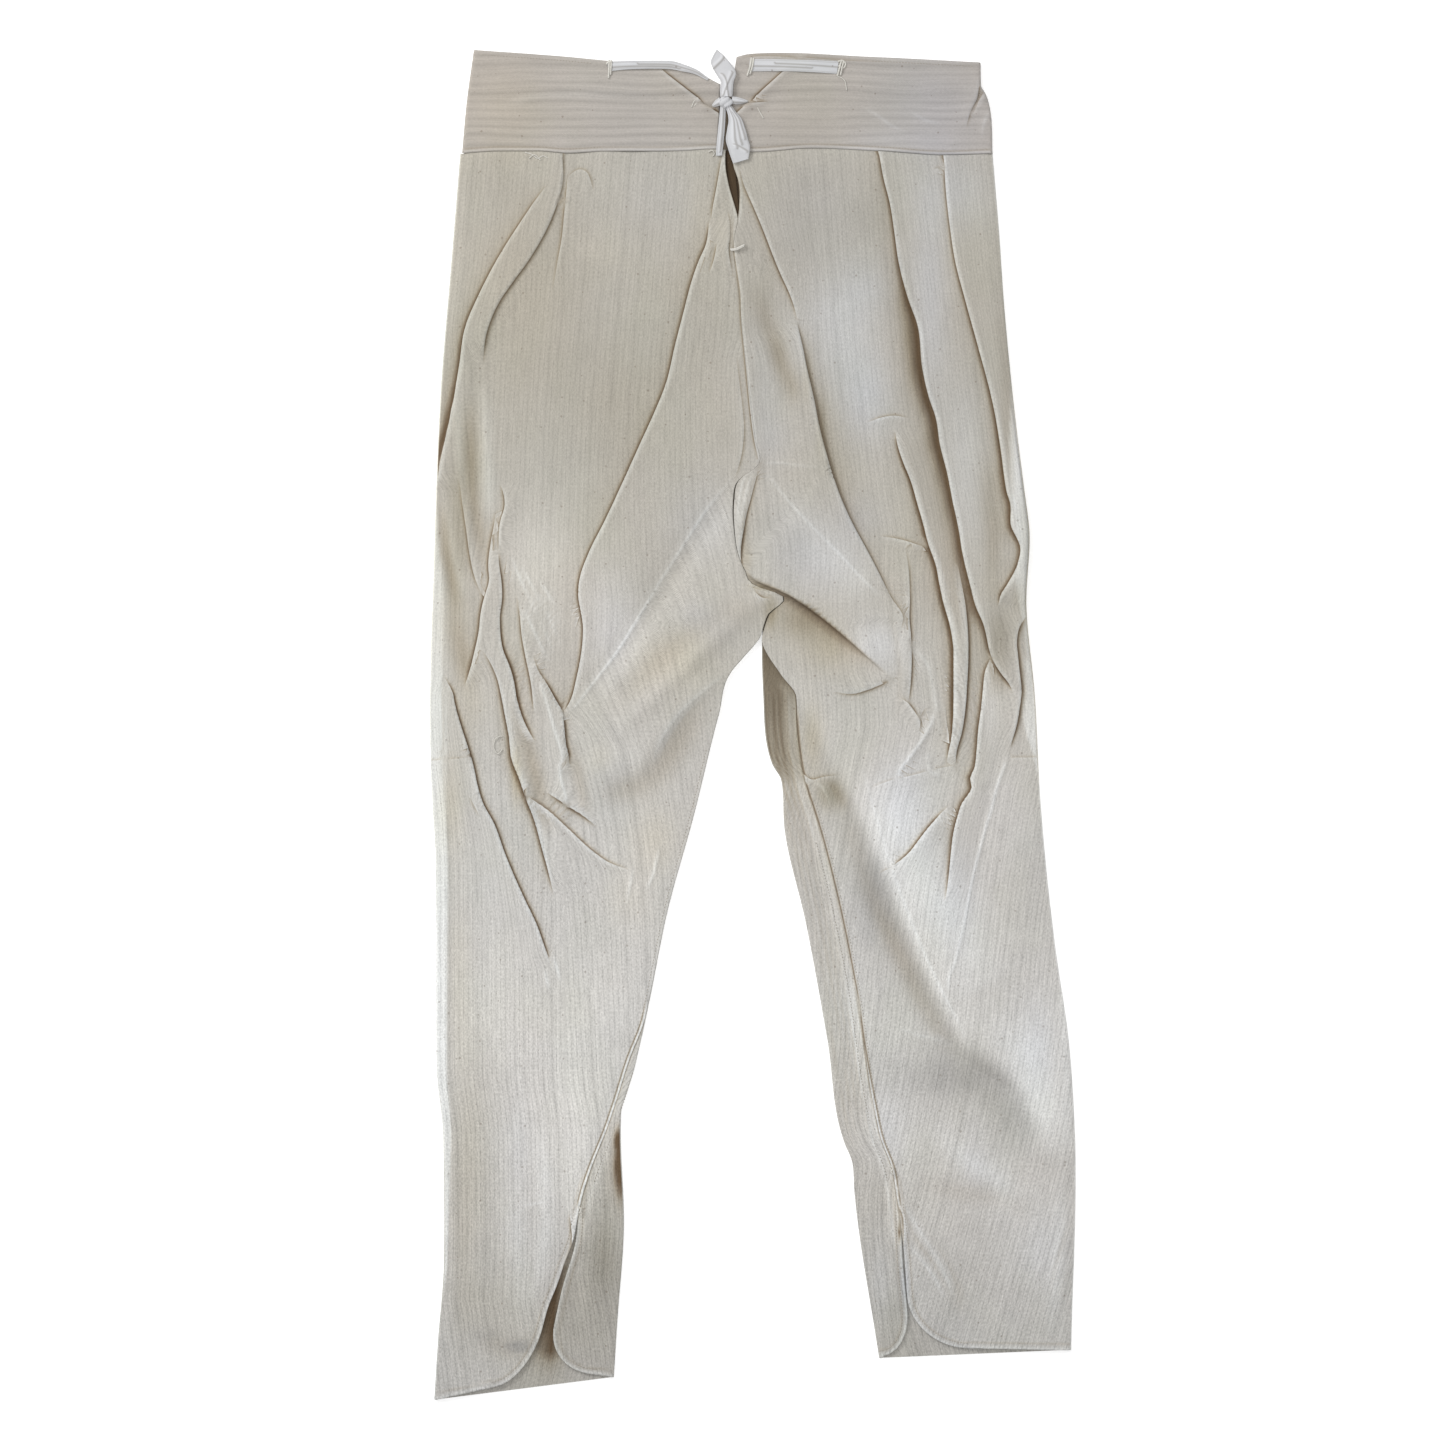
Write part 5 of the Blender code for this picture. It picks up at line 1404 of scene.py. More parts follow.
LEFT_LOOP = [
    (750, 59.2, 748.4, 71.5, 0, 0.2), (772, 59.4, 771, 71.4, 0.5, 0.3), (794, 60, 792.4, 71.6, 0.9, 0.4),
    (816, 60.6, 815, 72.6, 0.7, 0.3), (838.8, 61.6, 837, 74, 0, 0.2),
]
TIE = {
    "tail up": [
        (720.4, 97.5, 732.2, 97.2, 2.2, 1.6), (720.2, 90, 733, 89, 2.4, 1.5),
        (720.8, 82, 733.5, 82.5, 2.6, 1.2), (717, 76, 736, 75, 2.8, 0.5), (712.5, 68, 733.5, 68, 2.6, 0.3),
        (710.8, 62.4, 729.5, 63, 2.4, 0.2), (713.4, 55.5, 724.5, 57, 2, 0.1),
        (716.5, 50.2, 718, 50.6, 1.6, 0)],
    "short tail": [
        (720.6, 106, 725.5, 107, 1.4, 0.8), (719.4, 118, 725.3, 118.5, 1.1, 0.7),
        (718, 132, 724.4, 132.5, 0.9, 0.6), (716.6, 146, 723, 146, 0.8, 0.5),
        (716, 156.2, 721.8, 155.8, 0.8, 0.3)],
    "long tail": [
        (725, 106.5, 731.5, 106, 1.4, 1.3), (727.5, 113, 735.8, 112.5, 1.8, 1.2),
        (728.6, 120, 740.8, 118.4, 2, 1), (727, 131, 745.4, 130, 2.1, 0.7),
        (726, 141.5, 748.4, 141, 2, 0.5), (728.4, 150, 750, 146.5, 1.9, 0.3),
        (731, 158, 749.4, 153.5, 1.7, 0.1), (733.2, 164, 748.3, 159.4, 1.5, 0)],
    "left ear": [
        (731.8, 97, 732.5, 103.8, 1.8, 0.9), (737, 97.6, 736, 104.6, 1.6, 0.8), (742, 99, 741, 104, 1, 0.5),
        (748, 101, 747.4, 102.4, 0.2, 0.1)],
    "right ear": [
        (719.5, 97.8, 721.5, 105.5, 1.8, 0.9), (715.5, 101, 717, 106.6, 1.2, 0.6),
        (712, 105.4, 713, 107.4, 0.3, 0.2)],
}
KNOT = (42, -7.4)
KNOT_SIZE = (8.4, 10, 5)
BRACE_SEEDS = {"right_brace_tape": (RIGHT_LOOP, 31), "left_brace_tape": (LEFT_LOOP, 32)}
TIE_SEED = 41
TAPE_WAVE = 0.3
FOLD_WIDTH = 1.1


def tape_grid(stations, seed, folds=()):
    """A strip: both edges are smoothed along its length and points between them rise to the crown.

    A fold is a line across the strip from (along, aside) to (along, aside), shares of its length and width,
    with its rise. Returns the points, the pattern coordinates and the marks of the folds and the selvedges.
    """
    stations = np.array(stations, float)
    one, other = from_photo(stations[:, :2]), from_photo(stations[:, 2:4])
    along = walked((one + other) / 2)
    length = along[-1]
    at = np.linspace(0, length, int(length / TAPE_STEP) + 2)
    rows = resampled(np.concatenate([one, other, stations[:, 4:]], axis=1), along, at)
    d0, a0, d1, a1, up, crown = (column[:, None] for column in rows.T)
    place = np.linspace(0, 1, TAPE_COLUMNS + 1)[None]
    down, across = d0 + place * (d1 - d0), a0 + place * (a1 - a0)
    width = np.hypot(d1 - d0, a1 - a0)
    mean = float(width.mean())
    offset = (place - 0.5) * width
    run = at[:, None] + 0 * offset
    up = TAPE_LEVEL + up + TAPE_WAVE * ripple(run, offset, 9, 5, seed) + crown * (1 - (2 * place - 1) ** 2)
    hollow, pale = np.zeros(up.shape), np.zeros(up.shape)
    strip = np.stack([run, place * mean + 0 * run], axis=2).reshape(-1, 2)
    # A fold gets a painted highlight and a painted shade beside it; the selvedges get a painted shade
    for along0, aside0, along1, aside1, rise in folds:
        line = np.array([(along0 * length, aside0 * mean, 1), (along1 * length, aside1 * mean, 1)])
        distance, _, _, fade = beside(line, strip)
        distance, fade = distance.reshape(up.shape), fade.reshape(up.shape)
        body = bell(distance, 0, FOLD_WIDTH) * fade
        up = up + rise * body
        pale = np.maximum(pale, body * rise)
        hollow = np.maximum(hollow, 0.8 * fade * bell(distance, FOLD_WIDTH, 0.7))
    selvedge = bell((1 - np.abs(2 * place - 1)) * width / 2, 1.0, 0.35)
    marks = {"hollow": np.maximum(hollow, 0.45 * selvedge), "pale": np.clip(pale, 0, 1)}
    return np.stack([down, across, up], axis=2), np.stack([offset, run], axis=2), marks


def knot_grid():
    """An ellipsoid whose surface is grooved in a spiral, as tape wound round itself is."""
    angle = np.linspace(0, 2 * np.pi, 41)[None]
    tall = np.linspace(0.02, np.pi - 0.02, 25)[:, None]
    long, wide, high = KNOT_SIZE
    winding = np.cos(3 * (angle + 1.3 * tall))
    size = 1 + 0.12 * winding - 0.1 * np.maximum(0, -winding) ** 4
    down = KNOT[0] + size * long / 2 * np.cos(tall)
    across = KNOT[1] + size * wide / 2 * np.sin(tall) * np.cos(angle)
    up = TAPE_LEVEL + high / 2 + size * high / 2 * np.sin(tall) * np.sin(angle)
    pattern = np.stack([angle * wide + 0 * tall, tall * long + 0 * angle], axis=2)
    return np.stack([down + 0 * angle, across, up], axis=2), pattern, None


def joined(name, pieces):
    """Several meshes made one object: the first takes in the others and the name."""
    with bpy.context.temp_override(active_object=pieces[0], selected_editable_objects=pieces):
        bpy.ops.object.join()
    pieces[0].name = name
    pieces[0].data.name = name
    return pieces[0]


for name, (stations, seed) in BRACE_SEEDS.items():
    grid, pattern, marks = tape_grid(stations, seed, LOOP_FOLDS)
    keep_sheet(name, grid, pattern, TAPE_WALL, marks)
tie_grids = {part: tape_grid(TIE[part], seed, TAIL_FOLDS[part]) for seed, part in enumerate(TIE, TIE_SEED)}
tie_grids["knot"] = knot_grid()
tie_parts = [cloth_piece(part, grid, pattern, TAPE_WALL, marks)
             for part, (grid, pattern, marks) in tie_grids.items()]
PIECES["tie_tape"] = joined("tie_tape", tie_parts)

# %% [markdown]
# Stitches are small, but a garment without them looks printed. A run of stitches follows a line at an even
# pitch and stands a little above the cloth, each one a slim double pyramid. The hems, the inner seams, the
# waist seam and the top of the band each have their run, as far in from the edge as it was sewn.

# %% Stitches
STITCH = 1.5
STITCH_PITCH = 2.4
STITCH_HALF_WIDTH = 0.34
HEM_INSET = HEM - 0.6
SEAM_INSET = 2.6
STRIP_INSET = 6.0
TOP_INSET = 3.4
INSEAM_FROM = {"right": 560, "left": 600}
STRIP_RUN_SKIPS = {"right": 64, "left": 8}


def plain_mesh(name, vertices, faces):
    """An object from points in (down, across, up)."""
    mesh = bpy.data.meshes.new(name)
    mesh.from_pydata(to_world(*np.array(vertices).T).tolist(), [], faces)
    mesh.shade_smooth()
    return placed(name, mesh)


def stitched(name, side, lines, top):
    """Double pyramids along lines: two tips along the line and a ring of four points across it."""
    vertices, faces = [], []
    for line in lines:
        along = walked(line)
        at = np.arange(STITCH_PITCH / 2, along[-1], STITCH_PITCH)
        middle, ahead = (np.stack([np.interp(at + step, along, column) for column in line.T], axis=1)
                         for step in (0, 1))
        ahead -= middle
        ahead /= np.maximum(np.hypot(*ahead.T), 1e-6)[:, None]
        level = np.zeros(len(at))
        tips = np.column_stack([ahead, level]) * STITCH / 2
        aside = np.column_stack([-ahead[:, 1], ahead[:, 0], level]) * STITCH_HALF_WIDTH
        upright = np.array([0, 0, STITCH_HALF_WIDTH])
        centre = np.column_stack([middle, top(side, middle[:, 0], middle[:, 1])])
        block = [centre + way for way in (-tips, tips, aside, upright, -aside, -upright)]
        first = sum(len(earlier) for earlier in vertices)
        vertices.append(np.stack(block, axis=1).reshape(-1, 3))
        for start in range(first, first + len(vertices[-1]), 6):
            for a, b in ((2, 3), (3, 4), (4, 5), (5, 2)):
                faces += [(start, start + b, start + a), (start + 1, start + a, start + b)]
    return plain_mesh(name, np.concatenate(vertices), faces)


def inside_of(line, distance):
    """A line moved sideways by a distance: positive is to the picture's right when it is walked downwards."""
    ahead = np.gradient(line, axis=0)
    ahead /= np.hypot(*ahead.T)[:, None]
    return line + distance * np.stack([-ahead[:, 1], ahead[:, 0]], axis=1)


def front_top(side, down, across):
    """The upper face of the front, where its stitches lie."""
    return front_height(side, down, across)["up"] + CLOTH_WALL / 2


def strip_top(side, down, across):
    """The upper face of the turned-over strip."""
    return TURNED_LEVEL + 0.3 + CLOTH_WALL / 2 + 0 * down


def band_upper_face(side, down, across):
    """The upper face of the waistband."""
    return band_height(side, down, across)["up"] + BAND_WALL / 2


def leg_runs(side):
    """The runs of stitches on one leg: hem, seam and strip."""
    hem, flap = (line[:, :2] for line in HEMS[side.name])
    out = side.outward
    down = np.arange(INSEAM_FROM[side.name], VENT_START, 4.0)
    inseam = np.stack([down, front_edge(side, down)], axis=1)
    hem_run, flap_run = inside_of(hem, out * HEM_INSET)[3:-1], inside_of(flap, -out * HEM_INSET)[3:-1]
    strip_run = inside_of(inseam, -out * STRIP_INSET)[STRIP_RUN_SKIPS[side.name]:]
    return [stitched("hem", side, [hem_run], front_top),
            stitched("seam", side, [inside_of(inseam, out * SEAM_INSET)], front_top),
            stitched("flap", side, [strip_run, flap_run], strip_top)]


def band_runs(side):
    """The two runs along one half of the waistband: above the waist seam and below the top edge."""
    out, top_end = side.outward, side.band_side[0][1]
    seam_across = np.linspace(side.band_side[-1][1] - out * 4, side.band_front[-1][1] + out * 4, 90)
    top_across = np.linspace(top_end - out * 6, 0.55 * top_end, 60)
    return [np.stack([smooth(SEAM_WAVE, seam_across) - BAND_SEAM, seam_across], axis=1),
            np.stack([smooth(sorted(side.band_top), top_across) + TOP_INSET, top_across], axis=1)]


for side in (RIGHT, LEFT):
    name = f"{side.name}_leg_stitches"
    PIECES[name] = joined(name, leg_runs(side))
    name = f"{side.name}_waistband_stitches"
    PIECES[name] = stitched(name, side, band_runs(side), band_upper_face)
    print(name, len(PIECES[name].data.polygons), "faces")

# %% [markdown]
# The thicker white tacks at the loops, the fly and the vents were sewn by hand, and a few thread ends lie
# loose. Each is a thin tube along a few measured points, closed at its ends.

# %% Tacks and thread ends
THREAD = 0.42
THREAD_STEP = 0.8
THREAD_SIDES = 5
ON_BAND = BAND_FRONT + BAND_WALL / 2 + THREAD
ON_TAPE = TAPE_LEVEL + TAPE_WALL / 2 + 0.2
FRONT_TOP = 5.4
FLY_TOP = 7.8
# Each path is (x, y, height above the table)
TACKS = [
    [(609.3, 60, ON_BAND), (609.2, 66, ON_TAPE + 0.5), (608.6, 78.5, ON_BAND)],
    [(611.6, 60.5, ON_BAND), (611.2, 66, ON_TAPE + 0.5), (610.4, 75, ON_BAND)],
    [(606.5, 64.5, ON_BAND), (608, 62.6, ON_TAPE + 0.3), (612, 62.2, ON_TAPE + 0.3)],
    [(751.6, 57.8, ON_BAND), (750.3, 66, ON_TAPE + 0.5), (747.2, 76, ON_BAND)],
    [(753.6, 58.2, ON_BAND), (752.5, 66, ON_TAPE + 0.5), (749.8, 74.6, ON_BAND)],
    [(841.6, 60, ON_BAND), (839.8, 67, ON_TAPE + 0.5), (837.4, 76.5, ON_BAND)],
    [(843.8, 61, ON_BAND), (842.2, 67, ON_BAND + 0.6), (840.4, 75.4, ON_BAND)],
    [(838, 62, ON_TAPE + 0.3), (842, 60.6, ON_BAND), (845.6, 64, ON_BAND), (843.4, 68, ON_BAND),
     (838.4, 66, ON_TAPE + 0.4)],
    [(730.2, 249.8, FLY_TOP), (735.5, 249.4, FLY_TOP + 0.5), (740, 247.4, FLY_TOP + 0.5),
     (744.6, 245.2, FLY_TOP)],
    [(890.4, 1165.5, 5.8), (893, 1168.5, 6.6), (891, 1171, 6.6), (893.4, 1174.5, 6)],
    [(578.6, 1206.5, 5), (581, 1209.5, 5.6), (579.6, 1213.5, 5.2)],
    [(731, 250.6, FLY_TOP), (736.5, 250, FLY_TOP + 0.4), (741, 248, FLY_TOP + 0.4), (744.4, 246, FLY_TOP)],
]
LOOSE = [
    [(837.6, 76.6, ON_BAND), (842, 78.4, ON_BAND + 0.5), (845, 81.5, ON_BAND + 0.3), (846, 86, ON_BAND),
     (846.6, 90.5, ON_BAND)],
    [(757.6, 95, ON_BAND), (755.2, 98.4, ON_BAND + 0.5), (756.2, 104.4, ON_BAND + 0.3),
     (759.4, 111.4, ON_BAND), (763.4, 118.6, ON_BAND)],
    [(691.6, 107.4, ON_BAND), (694, 101.6, ON_BAND + 0.4), (697.8, 98, ON_BAND + 0.4), (699, 101.6, ON_BAND),
     (702.8, 103.6, ON_BAND)],
    [(694.4, 106, ON_BAND), (697, 103.2, ON_BAND + 0.3), (700.6, 105.6, ON_BAND), (705, 104.4, ON_BAND)],
    [(708.5, 152.2, ON_BAND), (711.4, 150.4, ON_BAND + 0.4), (714.4, 153.6, ON_BAND),
     (712.6, 156.6, ON_BAND - 0.4)],
    [(525, 152.4, ON_BAND - 0.2), (532, 154.6, ON_BAND), (538, 158.6, FRONT_TOP - 0.2),
     (543, 156, FRONT_TOP - 0.2), (548, 158.4, FRONT_TOP - 0.3)],
    [(529, 158.6, FRONT_TOP - 0.3), (534, 155, FRONT_TOP), (541, 160.6, FRONT_TOP - 0.3)],
    [(502.6, 736, 5.4), (498, 737, 5.8), (494.6, 741, 5.6), (494, 748, 5.8), (498, 754, 5.6),
     (502.6, 749, 5.4)],
]


def threads(name, paths, radius):
    """Thin tubes: rings of points along each smoothed path, closed at both ends by a fan."""
    vertices, faces = [], []
    for path in paths:
        rows = from_photo(path)
        along = walked(rows)
        line = resampled(rows, along, np.linspace(0, along[-1], max(4, int(along[-1] / THREAD_STEP))))
        ahead = np.gradient(line, axis=0)
        ahead /= np.linalg.norm(ahead, axis=1)[:, None]
        aside = np.cross(ahead, (0, 0, 1.0))
        aside /= np.linalg.norm(aside, axis=1)[:, None]
        over = np.cross(aside, ahead)
        angle = np.linspace(0, 2 * np.pi, THREAD_SIDES + 1)[None, :-1, None]
        ring = np.cos(angle) * aside[:, None] + np.sin(angle) * over[:, None]
        first = sum(len(earlier) for earlier in vertices)
        vertices.append((line[:, None] + radius * ring).reshape(-1, 3))
        last = first + THREAD_SIDES * (len(line) - 1)
        for start in range(first, last, THREAD_SIDES):
            for j in range(THREAD_SIDES):
                a, b = start + j, start + (j + 1) % THREAD_SIDES
                faces.append((a, b, b + THREAD_SIDES, a + THREAD_SIDES))
        faces += [tuple(range(first, first + THREAD_SIDES))[::-1], tuple(range(last, last + THREAD_SIDES))]
    return plain_mesh(name, np.concatenate(vertices), faces)


PIECES["tack_threads"] = threads("tack_threads", TACKS, THREAD * 2)
PIECES["loose_threads"] = threads("loose_threads", LOOSE, THREAD)
print("threads:", len(TACKS) + len(LOOSE))

# %% [markdown]
# Woven cotton is a colour that changes a little in every thread. The pattern coordinates run along and
# across the cloth, so bands of twill that lean left and right in turn, the herringbone, follow the cloth
# round its folds. Mottling, brown flecks of seed husk and the tone of the folds come on top. What several
# materials share is a node group.

# %% Node helpers


class Nodes:
    """Short words for making nodes: each call adds one, links what it is given and returns its output."""

    def __init__(self, tree):
        self.tree = tree

    def give(self, socket, value):
        """A number, a colour or another node's output given to a socket."""
        if isinstance(value, bpy.types.NodeSocket):
            self.tree.links.new(value, socket)
        else:
            socket.default_value = value

    def put(self, kind, inputs=(), output=0, **settings):
        """A node of a kind: inputs are numbers, colours or outputs, by name or index."""
        node = self.tree.nodes.new(kind)
        for key, value in settings.items():
            setattr(node, key, value)
        for key, value in dict(inputs).items():
            self.give(node.inputs[key], value)
        return node.outputs[output]

    def math(self, operation, a, b=0.0, c=0.0):
        """One sum, product or other function of numbers."""
        return self.put("ShaderNodeMath", {0: a, 1: b, 2: c}, operation=operation)

    def times(self, a, b):
        """One number times another."""
        return self.math("MULTIPLY", a, b)

    def spread(self, value, low, high, to_low=0.0, to_high=1.0):
        """A value carried from one range to another and held there."""
        return self.put("ShaderNodeMapRange", {0: value, 1: low, 2: high, 3: to_low, 4: to_high})

    def noise(self, place, scale, detail=2.0):
        """Smooth noise between 0 and 1."""
        return self.put("ShaderNodeTexNoise", {"Vector": place, "Scale": scale, "Detail": detail})

    def streaks(self, place, stretch, detail=2.0):
        """Noise on a place that is stretched along its axes."""
        return self.noise(self.put("ShaderNodeMapping", {"Vector": place, "Scale": stretch}), 1.0, detail)

    def mark(self, name):
        """A mark that the points of the mesh carry."""
        return self.put("ShaderNodeAttribute", output="Fac", attribute_name=name)

    def mix(self, share, a, b, blend="MIX"):
        """Two colours mixed."""
        return self.put("ShaderNodeMix", {0: share, 6: a, 7: b}, 2, data_type="RGBA", blend_type=blend)

    def tinted(self, colour, tint, share=1.0):
        """A colour multiplied by another, wholly or by a share."""
        return self.mix(share, colour, tint, "MULTIPLY")

    def mottled(self, colour, place):
        """A colour with the mottling of old cotton over it."""
        return self.put("ShaderNodeGroup", {"Place": place, "Colour": colour}, node_tree=MOTTLE)

    def bumped(self, strength, distance, height):
        """A normal that follows a height."""
        return self.put("ShaderNodeBump", {"Strength": strength, "Distance": distance, "Height": height})


def new_group(name, inputs, outputs):
    """An empty node group: how to make its nodes, what it is given and what it puts out."""
    group = bpy.data.node_groups.new(name, "ShaderNodeTree")
    for way, sockets in (("INPUT", inputs), ("OUTPUT", outputs)):
        for socket, kind in sockets.items():
            group.interface.new_socket(socket, in_out=way, socket_type=f"NodeSocket{kind}")
    given, put_out = group.nodes.new("NodeGroupInput"), group.nodes.new("NodeGroupOutput")
    return Nodes(group), given.outputs, put_out.inputs


def new_look(name, roughness):
    """A new material: how to make its nodes, and its shader's inputs."""
    look = bpy.data.materials.new(name)
    look.use_nodes = True
    shader = look.node_tree.nodes["Principled BSDF"]
    shader.inputs["Roughness"].default_value = roughness
    return look, Nodes(look.node_tree), shader.inputs


print("kinds of node made by:", [word for word in vars(Nodes) if word[0] != "_"])

# %% [markdown]
# The herringbone group turns pattern coordinates into a tone round 1 and a height. Its bands are about 7 mm
# wide with a light stripe in each, the threads show as fine streaks along the cloth, and the twill is a
# faint slant whose direction changes from band to band.

# %% Herringbone cotton
BAND_PITCH = 0.0074
BAND_WANDER = 0.0007
TWILL_PITCH = 0.0013


def herringbone_group():
    """Tone = 1 + stripe + streaks + twill, each a small share; the height follows the same threads."""
    make, given, put_out = new_group(
        "herringbone cotton",
        {"Pattern": "Vector", "Contrast": "Float", "Grain": "Float"}, {"Tone": "Float", "Height": "Float"})
    pattern = given["Pattern"]
    u, along, _ = make.put("ShaderNodeSeparateXYZ", {0: pattern}).node.outputs
    wander = make.spread(make.noise(pattern, 22.0), 0, 1, -BAND_WANDER, BAND_WANDER)
    band = make.math("DIVIDE", make.math("ADD", u, wander), BAND_PITCH)
    inside = make.math("FRACT", band)
    peak = make.math("ABSOLUTE", make.math("SUBTRACT", inside, 0.5))
    luck = make.put("ShaderNodeTexWhiteNoise", {"W": make.math("FLOOR", band)}, noise_dimensions="1D")
    stripe = make.math("ADD", make.spread(peak, 0.10, 0.40, -1.0, 1.0), make.spread(luck, 0, 1, -0.8, 0.8))
    stripe = make.times(stripe, make.spread(make.streaks(pattern, (40, 9, 1)), 0.35, 0.65, 0.35, 1.3))
    dashes = make.spread(make.streaks(pattern, (130, 260, 1)), 0.32, 0.52)
    turns = make.times(make.spread(peak, 0.40, 0.47), dashes)
    lines = make.math("MULTIPLY_ADD", make.times(make.spread(peak, 0.08, 0.02), dashes), 0.6, turns)
    threads = make.spread(make.streaks(pattern, (560, 60, 1), 3.0), 0.3, 0.7, -1.0, 1.0)
    slubs = make.spread(make.streaks(pattern, (900, 520, 1)), 0.3, 0.7, -1.0, 1.0)
    slant = make.times(make.math("SUBTRACT", make.math("ROUND", inside), 0.5), 2.0)
    climb = make.math("MULTIPLY_ADD", u, slant, along)
    twill = make.math("SINE", make.times(climb, 2 * np.pi / TWILL_PITCH))
    fine = make.times(lines, -0.13)
    for threads_of, share in ((threads, 0.055), (slubs, 0.11), (twill, 0.02)):
        fine = make.math("MULTIPLY_ADD", threads_of, share, fine)
    tone = make.math("MULTIPLY_ADD", fine, given["Grain"], make.times(stripe, 0.036))
    make.give(put_out["Tone"], make.math("MULTIPLY_ADD", tone, given["Contrast"], 1.015))
    uneven = make.math("MULTIPLY_ADD", threads, 0.35, twill)
    make.give(put_out["Height"], make.math("MULTIPLY_ADD", stripe, 0.3, uneven))
    return make.tree


HERRINGBONE = herringbone_group()
print("nodes of the herringbone:", len(HERRINGBONE.nodes))

# %% [markdown]
# Unbleached cotton is mottled: slow clouds of pink and green grey, and small dark flecks of seed husk. The
# flecks are the middles of Voronoi cells, where only some cells are chosen by their random colour.

# %% Mottling
FLECK = (0.14, 0.10, 0.07, 1)
FLECKS = ((60.0, 0.055), (33.0, 0.03))


def mottle_group():
    """Slow changes of colour and small dark flecks, from places on the object in metres."""
    make, given, put_out = new_group("old cotton mottling", {"Place": "Vector", "Colour": "Color"},
                                     {"Colour": "Color"})
    place = given["Place"]
    slow = make.spread(make.noise(place, 7.0, 3.0), 0.35, 0.65)
    colour = make.tinted(given["Colour"], (1.03, 0.99, 0.965, 1), make.times(slow, 0.5))
    stretched = make.put("ShaderNodeMapping", {"Vector": place, "Scale": (1.7, 1, 1)})
    green = make.spread(make.noise(stretched, 11.0, 3.0), 0.45, 0.7)
    colour = make.tinted(colour, (0.965, 0.98, 0.94, 1), make.times(green, 0.6))
    colour = make.tinted(colour, make.spread(make.noise(place, 26.0, 4.0), 0.3, 0.7, 0.975, 1.02))
    for scale, most in FLECKS:
        cells = make.put("ShaderNodeTexVoronoi", {"Vector": place, "Scale": scale}, voronoi_dimensions="2D")
        cells = cells.node.outputs
        chosen = make.spread(make.put("ShaderNodeSeparateColor", {0: cells["Color"]}), 0.45, 1.0)
        speck = make.math("LESS_THAN", cells["Distance"], make.times(chosen, most))
        colour = make.mix(make.times(speck, 0.38), colour, FLECK)
    make.give(put_out["Colour"], colour)
    return make.tree


MOTTLE = mottle_group()
print("nodes of the mottling:", len(MOTTLE.nodes))

# %% [markdown]
# The points of the mesh are too coarse for the fine dark line of a crease, which is a painted shadow. So the
# mesh only carries how far a point is past its nearest line, "past", and how strong that line is, "edge", and
# the painted shadow line and the painted highlight on its lip are drawn here.

# %% Crease lines: painted shadow and highlight


def crease_group():
    """A painted shadow line that fades from a crease to its low side, and a painted highlight on the lip of
    its high side.
    """
    make, given, put_out = new_group(
        "painted crease shadow and highlight", dict.fromkeys(("Past", "Edge", "Hollow", "Pale"), "Float"),
        {"Hollow": "Float", "Pale": "Float"})
    past, edge = given["Past"], given["Edge"]
    high = make.spread(past, 0.05, 0.45)
    low = make.math("SUBTRACT", 1.0, high)
    cut = make.times(high, make.spread(edge, 0.1, 0.5))
    shade = make.times(given["Hollow"], make.math("SUBTRACT", 1.0, cut))
    near_line = make.math("POWER", make.spread(past, -2.6, -0.2), 1.5)
    line = make.times(near_line, make.times(edge, low))
    lip = make.times(make.times(high, edge), make.spread(past, 0.9, 2.6, 0.65, 0.0))
    for name, mark, drawn in (("Hollow", shade, line), ("Pale", given["Pale"], lip)):
        left = make.math("SUBTRACT", 1.0, drawn)
        make.give(put_out[name], make.math("MULTIPLY_ADD", mark, left, drawn))
    return make.tree


CREASE_LINE = crease_group()
print("nodes of the painted crease shadow and highlight:", len(CREASE_LINE.nodes))

# %% [markdown]
# A material puts the groups together. The light and warm marks make the legs paler and greyer towards the
# feet and warmer at the seat, as in the photograph, and carry the painted light and shade of the tones; the
# hollow marks add a painted brown shade beside the folds and the pale marks a painted highlight.

# %% Materials
# Tints of the painted shade for the hollow marks, and of the painted highlight for the pale marks
HALF_PAINTED_SHADE = (0.76, 0.70, 0.61, 1)
FULL_PAINTED_SHADE = (0.36, 0.27, 0.19, 1)
PAINTED_HIGHLIGHT = (1.30, 1.35, 1.40, 1)
# Tints of the painted shade and the painted highlight on the tapes
TAPE_MARKS = {"hollow": (0.55, 0.52, 0.48, 1), "pale": (1.22, 1.22, 1.22, 1)}
TAPE_THREADS = 0.0009


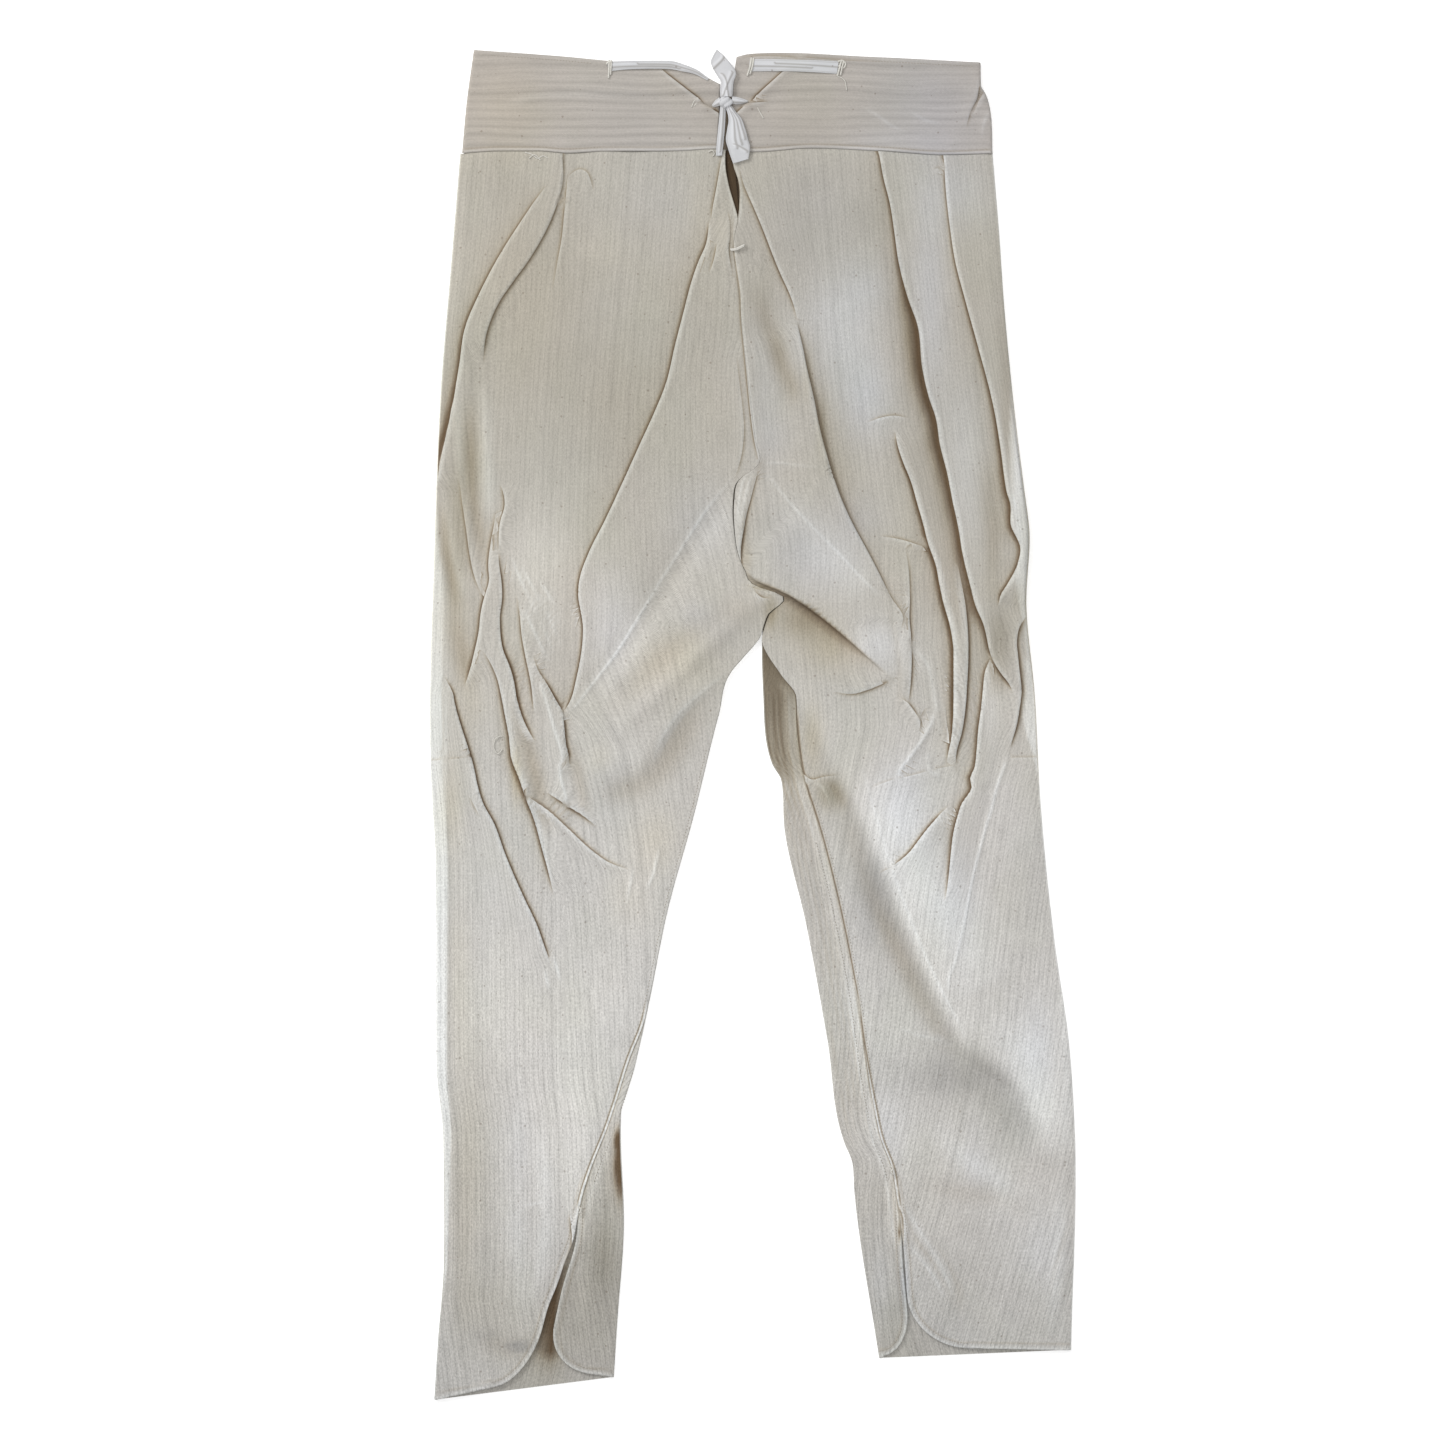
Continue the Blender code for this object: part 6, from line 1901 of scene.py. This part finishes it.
def cotton(name, base, contrast, grain):
    """Cream cotton: a base colour times the light and warmth of the marks and the herringbone, mottled."""
    look, make, shader = new_look(name, 0.9)
    place = make.put("ShaderNodeTexCoord", output="Object")
    height = make.put("ShaderNodeSeparateXYZ", {0: place}, 1)
    weave = make.put("ShaderNodeGroup", {
        "Pattern": make.put("ShaderNodeUVMap", uv_map="pattern"), "Grain": grain,
        "Contrast": make.spread(height, 0.1, -0.3, contrast, 1.6 * contrast)},
        node_tree=HERRINGBONE).node.outputs
    warm = make.mark("warm")
    red, blue = (make.math("MULTIPLY_ADD", warm, share, 1.0) for share in (0.035, -0.09))
    colour = make.tinted((*base, 1), make.math("ADD", make.mark("light"), 1.0))
    colour = make.tinted(colour, make.put("ShaderNodeCombineColor", {0: red, 1: 1.0, 2: blue}))
    colour = make.tinted(colour, weave["Tone"])
    marks = {mark: make.mark(mark.lower()) for mark in ("Past", "Edge", "Hollow", "Pale")}
    hollow, pale = make.put("ShaderNodeGroup", marks, node_tree=CREASE_LINE).node.outputs
    # Painted brown shade from the hollow marks and crease lines, then painted highlight from the pale marks
    colour = make.tinted(colour, HALF_PAINTED_SHADE, make.spread(hollow, 0, 0.6))
    colour = make.tinted(colour, FULL_PAINTED_SHADE, make.spread(hollow, 0.5, 1))
    colour = make.tinted(colour, PAINTED_HIGHLIGHT, pale)
    make.give(shader["Base Color"], make.mottled(colour, place))
    make.give(shader["Normal"], make.bumped(0.25, 0.0003, weave["Height"]))
    shader["Specular IOR Level"].default_value = 0.25
    shader["Sheen Weight"].default_value = 0.08
    shader["Sheen Roughness"].default_value = 0.5
    return look


def tape_cotton(name, colour):
    """Plain white tape: a fine over-and-under weave from two sines, with a little mottling."""
    look, make, shader = new_look(name, 0.8)
    sides = make.put("ShaderNodeSeparateXYZ", {0: make.put("ShaderNodeUVMap", uv_map="pattern")}).node.outputs
    weave = make.times(*(make.math("SINE", make.times(side, 2 * np.pi / TAPE_THREADS)) for side in sides[:2]))
    shown = make.tinted((*colour, 1), make.spread(weave, -1, 1, 0.95, 1.03))
    for mark, tint in TAPE_MARKS.items():
        shown = make.mix(make.mark(mark), shown, make.tinted(shown, tint))
    make.give(shader["Base Color"], make.mottled(shown, make.put("ShaderNodeTexCoord", output="Object")))
    make.give(shader["Normal"], make.bumped(0.3, 0.0002, weave))
    return look


def plain_thread(name, colour):
    """Sewing thread: one colour with a very fine noise for its twist."""
    look, make, shader = new_look(name, 0.75)
    place = make.put("ShaderNodeTexCoord", output="Object")
    twist = make.spread(make.noise(place, 900.0), 0.3, 0.7, 0.85, 1.08)
    make.give(shader["Base Color"], make.tinted((*colour, 1), twist))
    return look


# The look of a piece goes by the last word of its name, and that of a cloth by where it is
LEG_COTTON = cotton("leg cotton", (0.45, 0.432, 0.392), 1.0, 1.0)
BAND_COTTON = cotton("waistband cotton", (0.402, 0.379, 0.356), 1.9, 0.3)
# The sewing thread is darker than the cloth, partly its own colour and partly a painted shade of the stitch
# holes
LOOKS = {"tape": tape_cotton("white tape", (0.56, 0.57, 0.59)),
         "stitches": plain_thread("sewing thread", (0.36, 0.32, 0.26)),
         "threads": plain_thread("pale thread", (0.62, 0.60, 0.55))}
for name, piece in PIECES.items():
    cloth = BAND_COTTON if "waistband" in name else LEG_COTTON
    piece.data.materials.clear()
    piece.data.materials.append(LOOKS.get(name.split("_")[-1], cloth))
print("materials:", {name: piece.data.materials[0].name for name, piece in PIECES.items()})

# %% [markdown]
# Last, every piece rides on the garment's one body, and the solids that each cloth piece stands for are
# hidden.

# %% Tie the pieces to the frame
Cut = namedtuple("Cut", "nodes slot flat rests_on")
TIE_NODES = tuple(f"tie_{part}" for part in (
    "knot", "tail_up", "tail_short", "tail_long", "strand_right", "strand_left"))
BANDS = ["right_waistband_cloth", "left_waistband_cloth"]
CUTS = {
    "right_leg_cloth": Cut(("right_leg",), "cloth", (0.52, 1.0), []),
    "left_leg_cloth": Cut(("left_leg",), "cloth", (0.52, 1.0), []),
    "right_waistband_cloth": Cut(("right_waistband",), "cloth", (0.42, 0.08), []),
    "left_waistband_cloth": Cut(("left_waistband",), "cloth", (0.42, 0.08), []),
    "right_brace_tape": Cut(("right_brace_loop",), "tape", (0.01, 0.08), BANDS[:1]),
    "left_brace_tape": Cut(("left_brace_loop",), "tape", (0.0105, 0.075), BANDS[1:]),
    "tie_tape": Cut(TIE_NODES, "tape", (0.012, 0.25), BANDS),
}
for name, cut in CUTS.items():
    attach(PIECES[name], "root")
    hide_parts(*cut.nodes)
for name, piece in PIECES.items():
    if name not in CUTS:
        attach(piece, "root")
print("pieces on the frame:", len(PIECES))
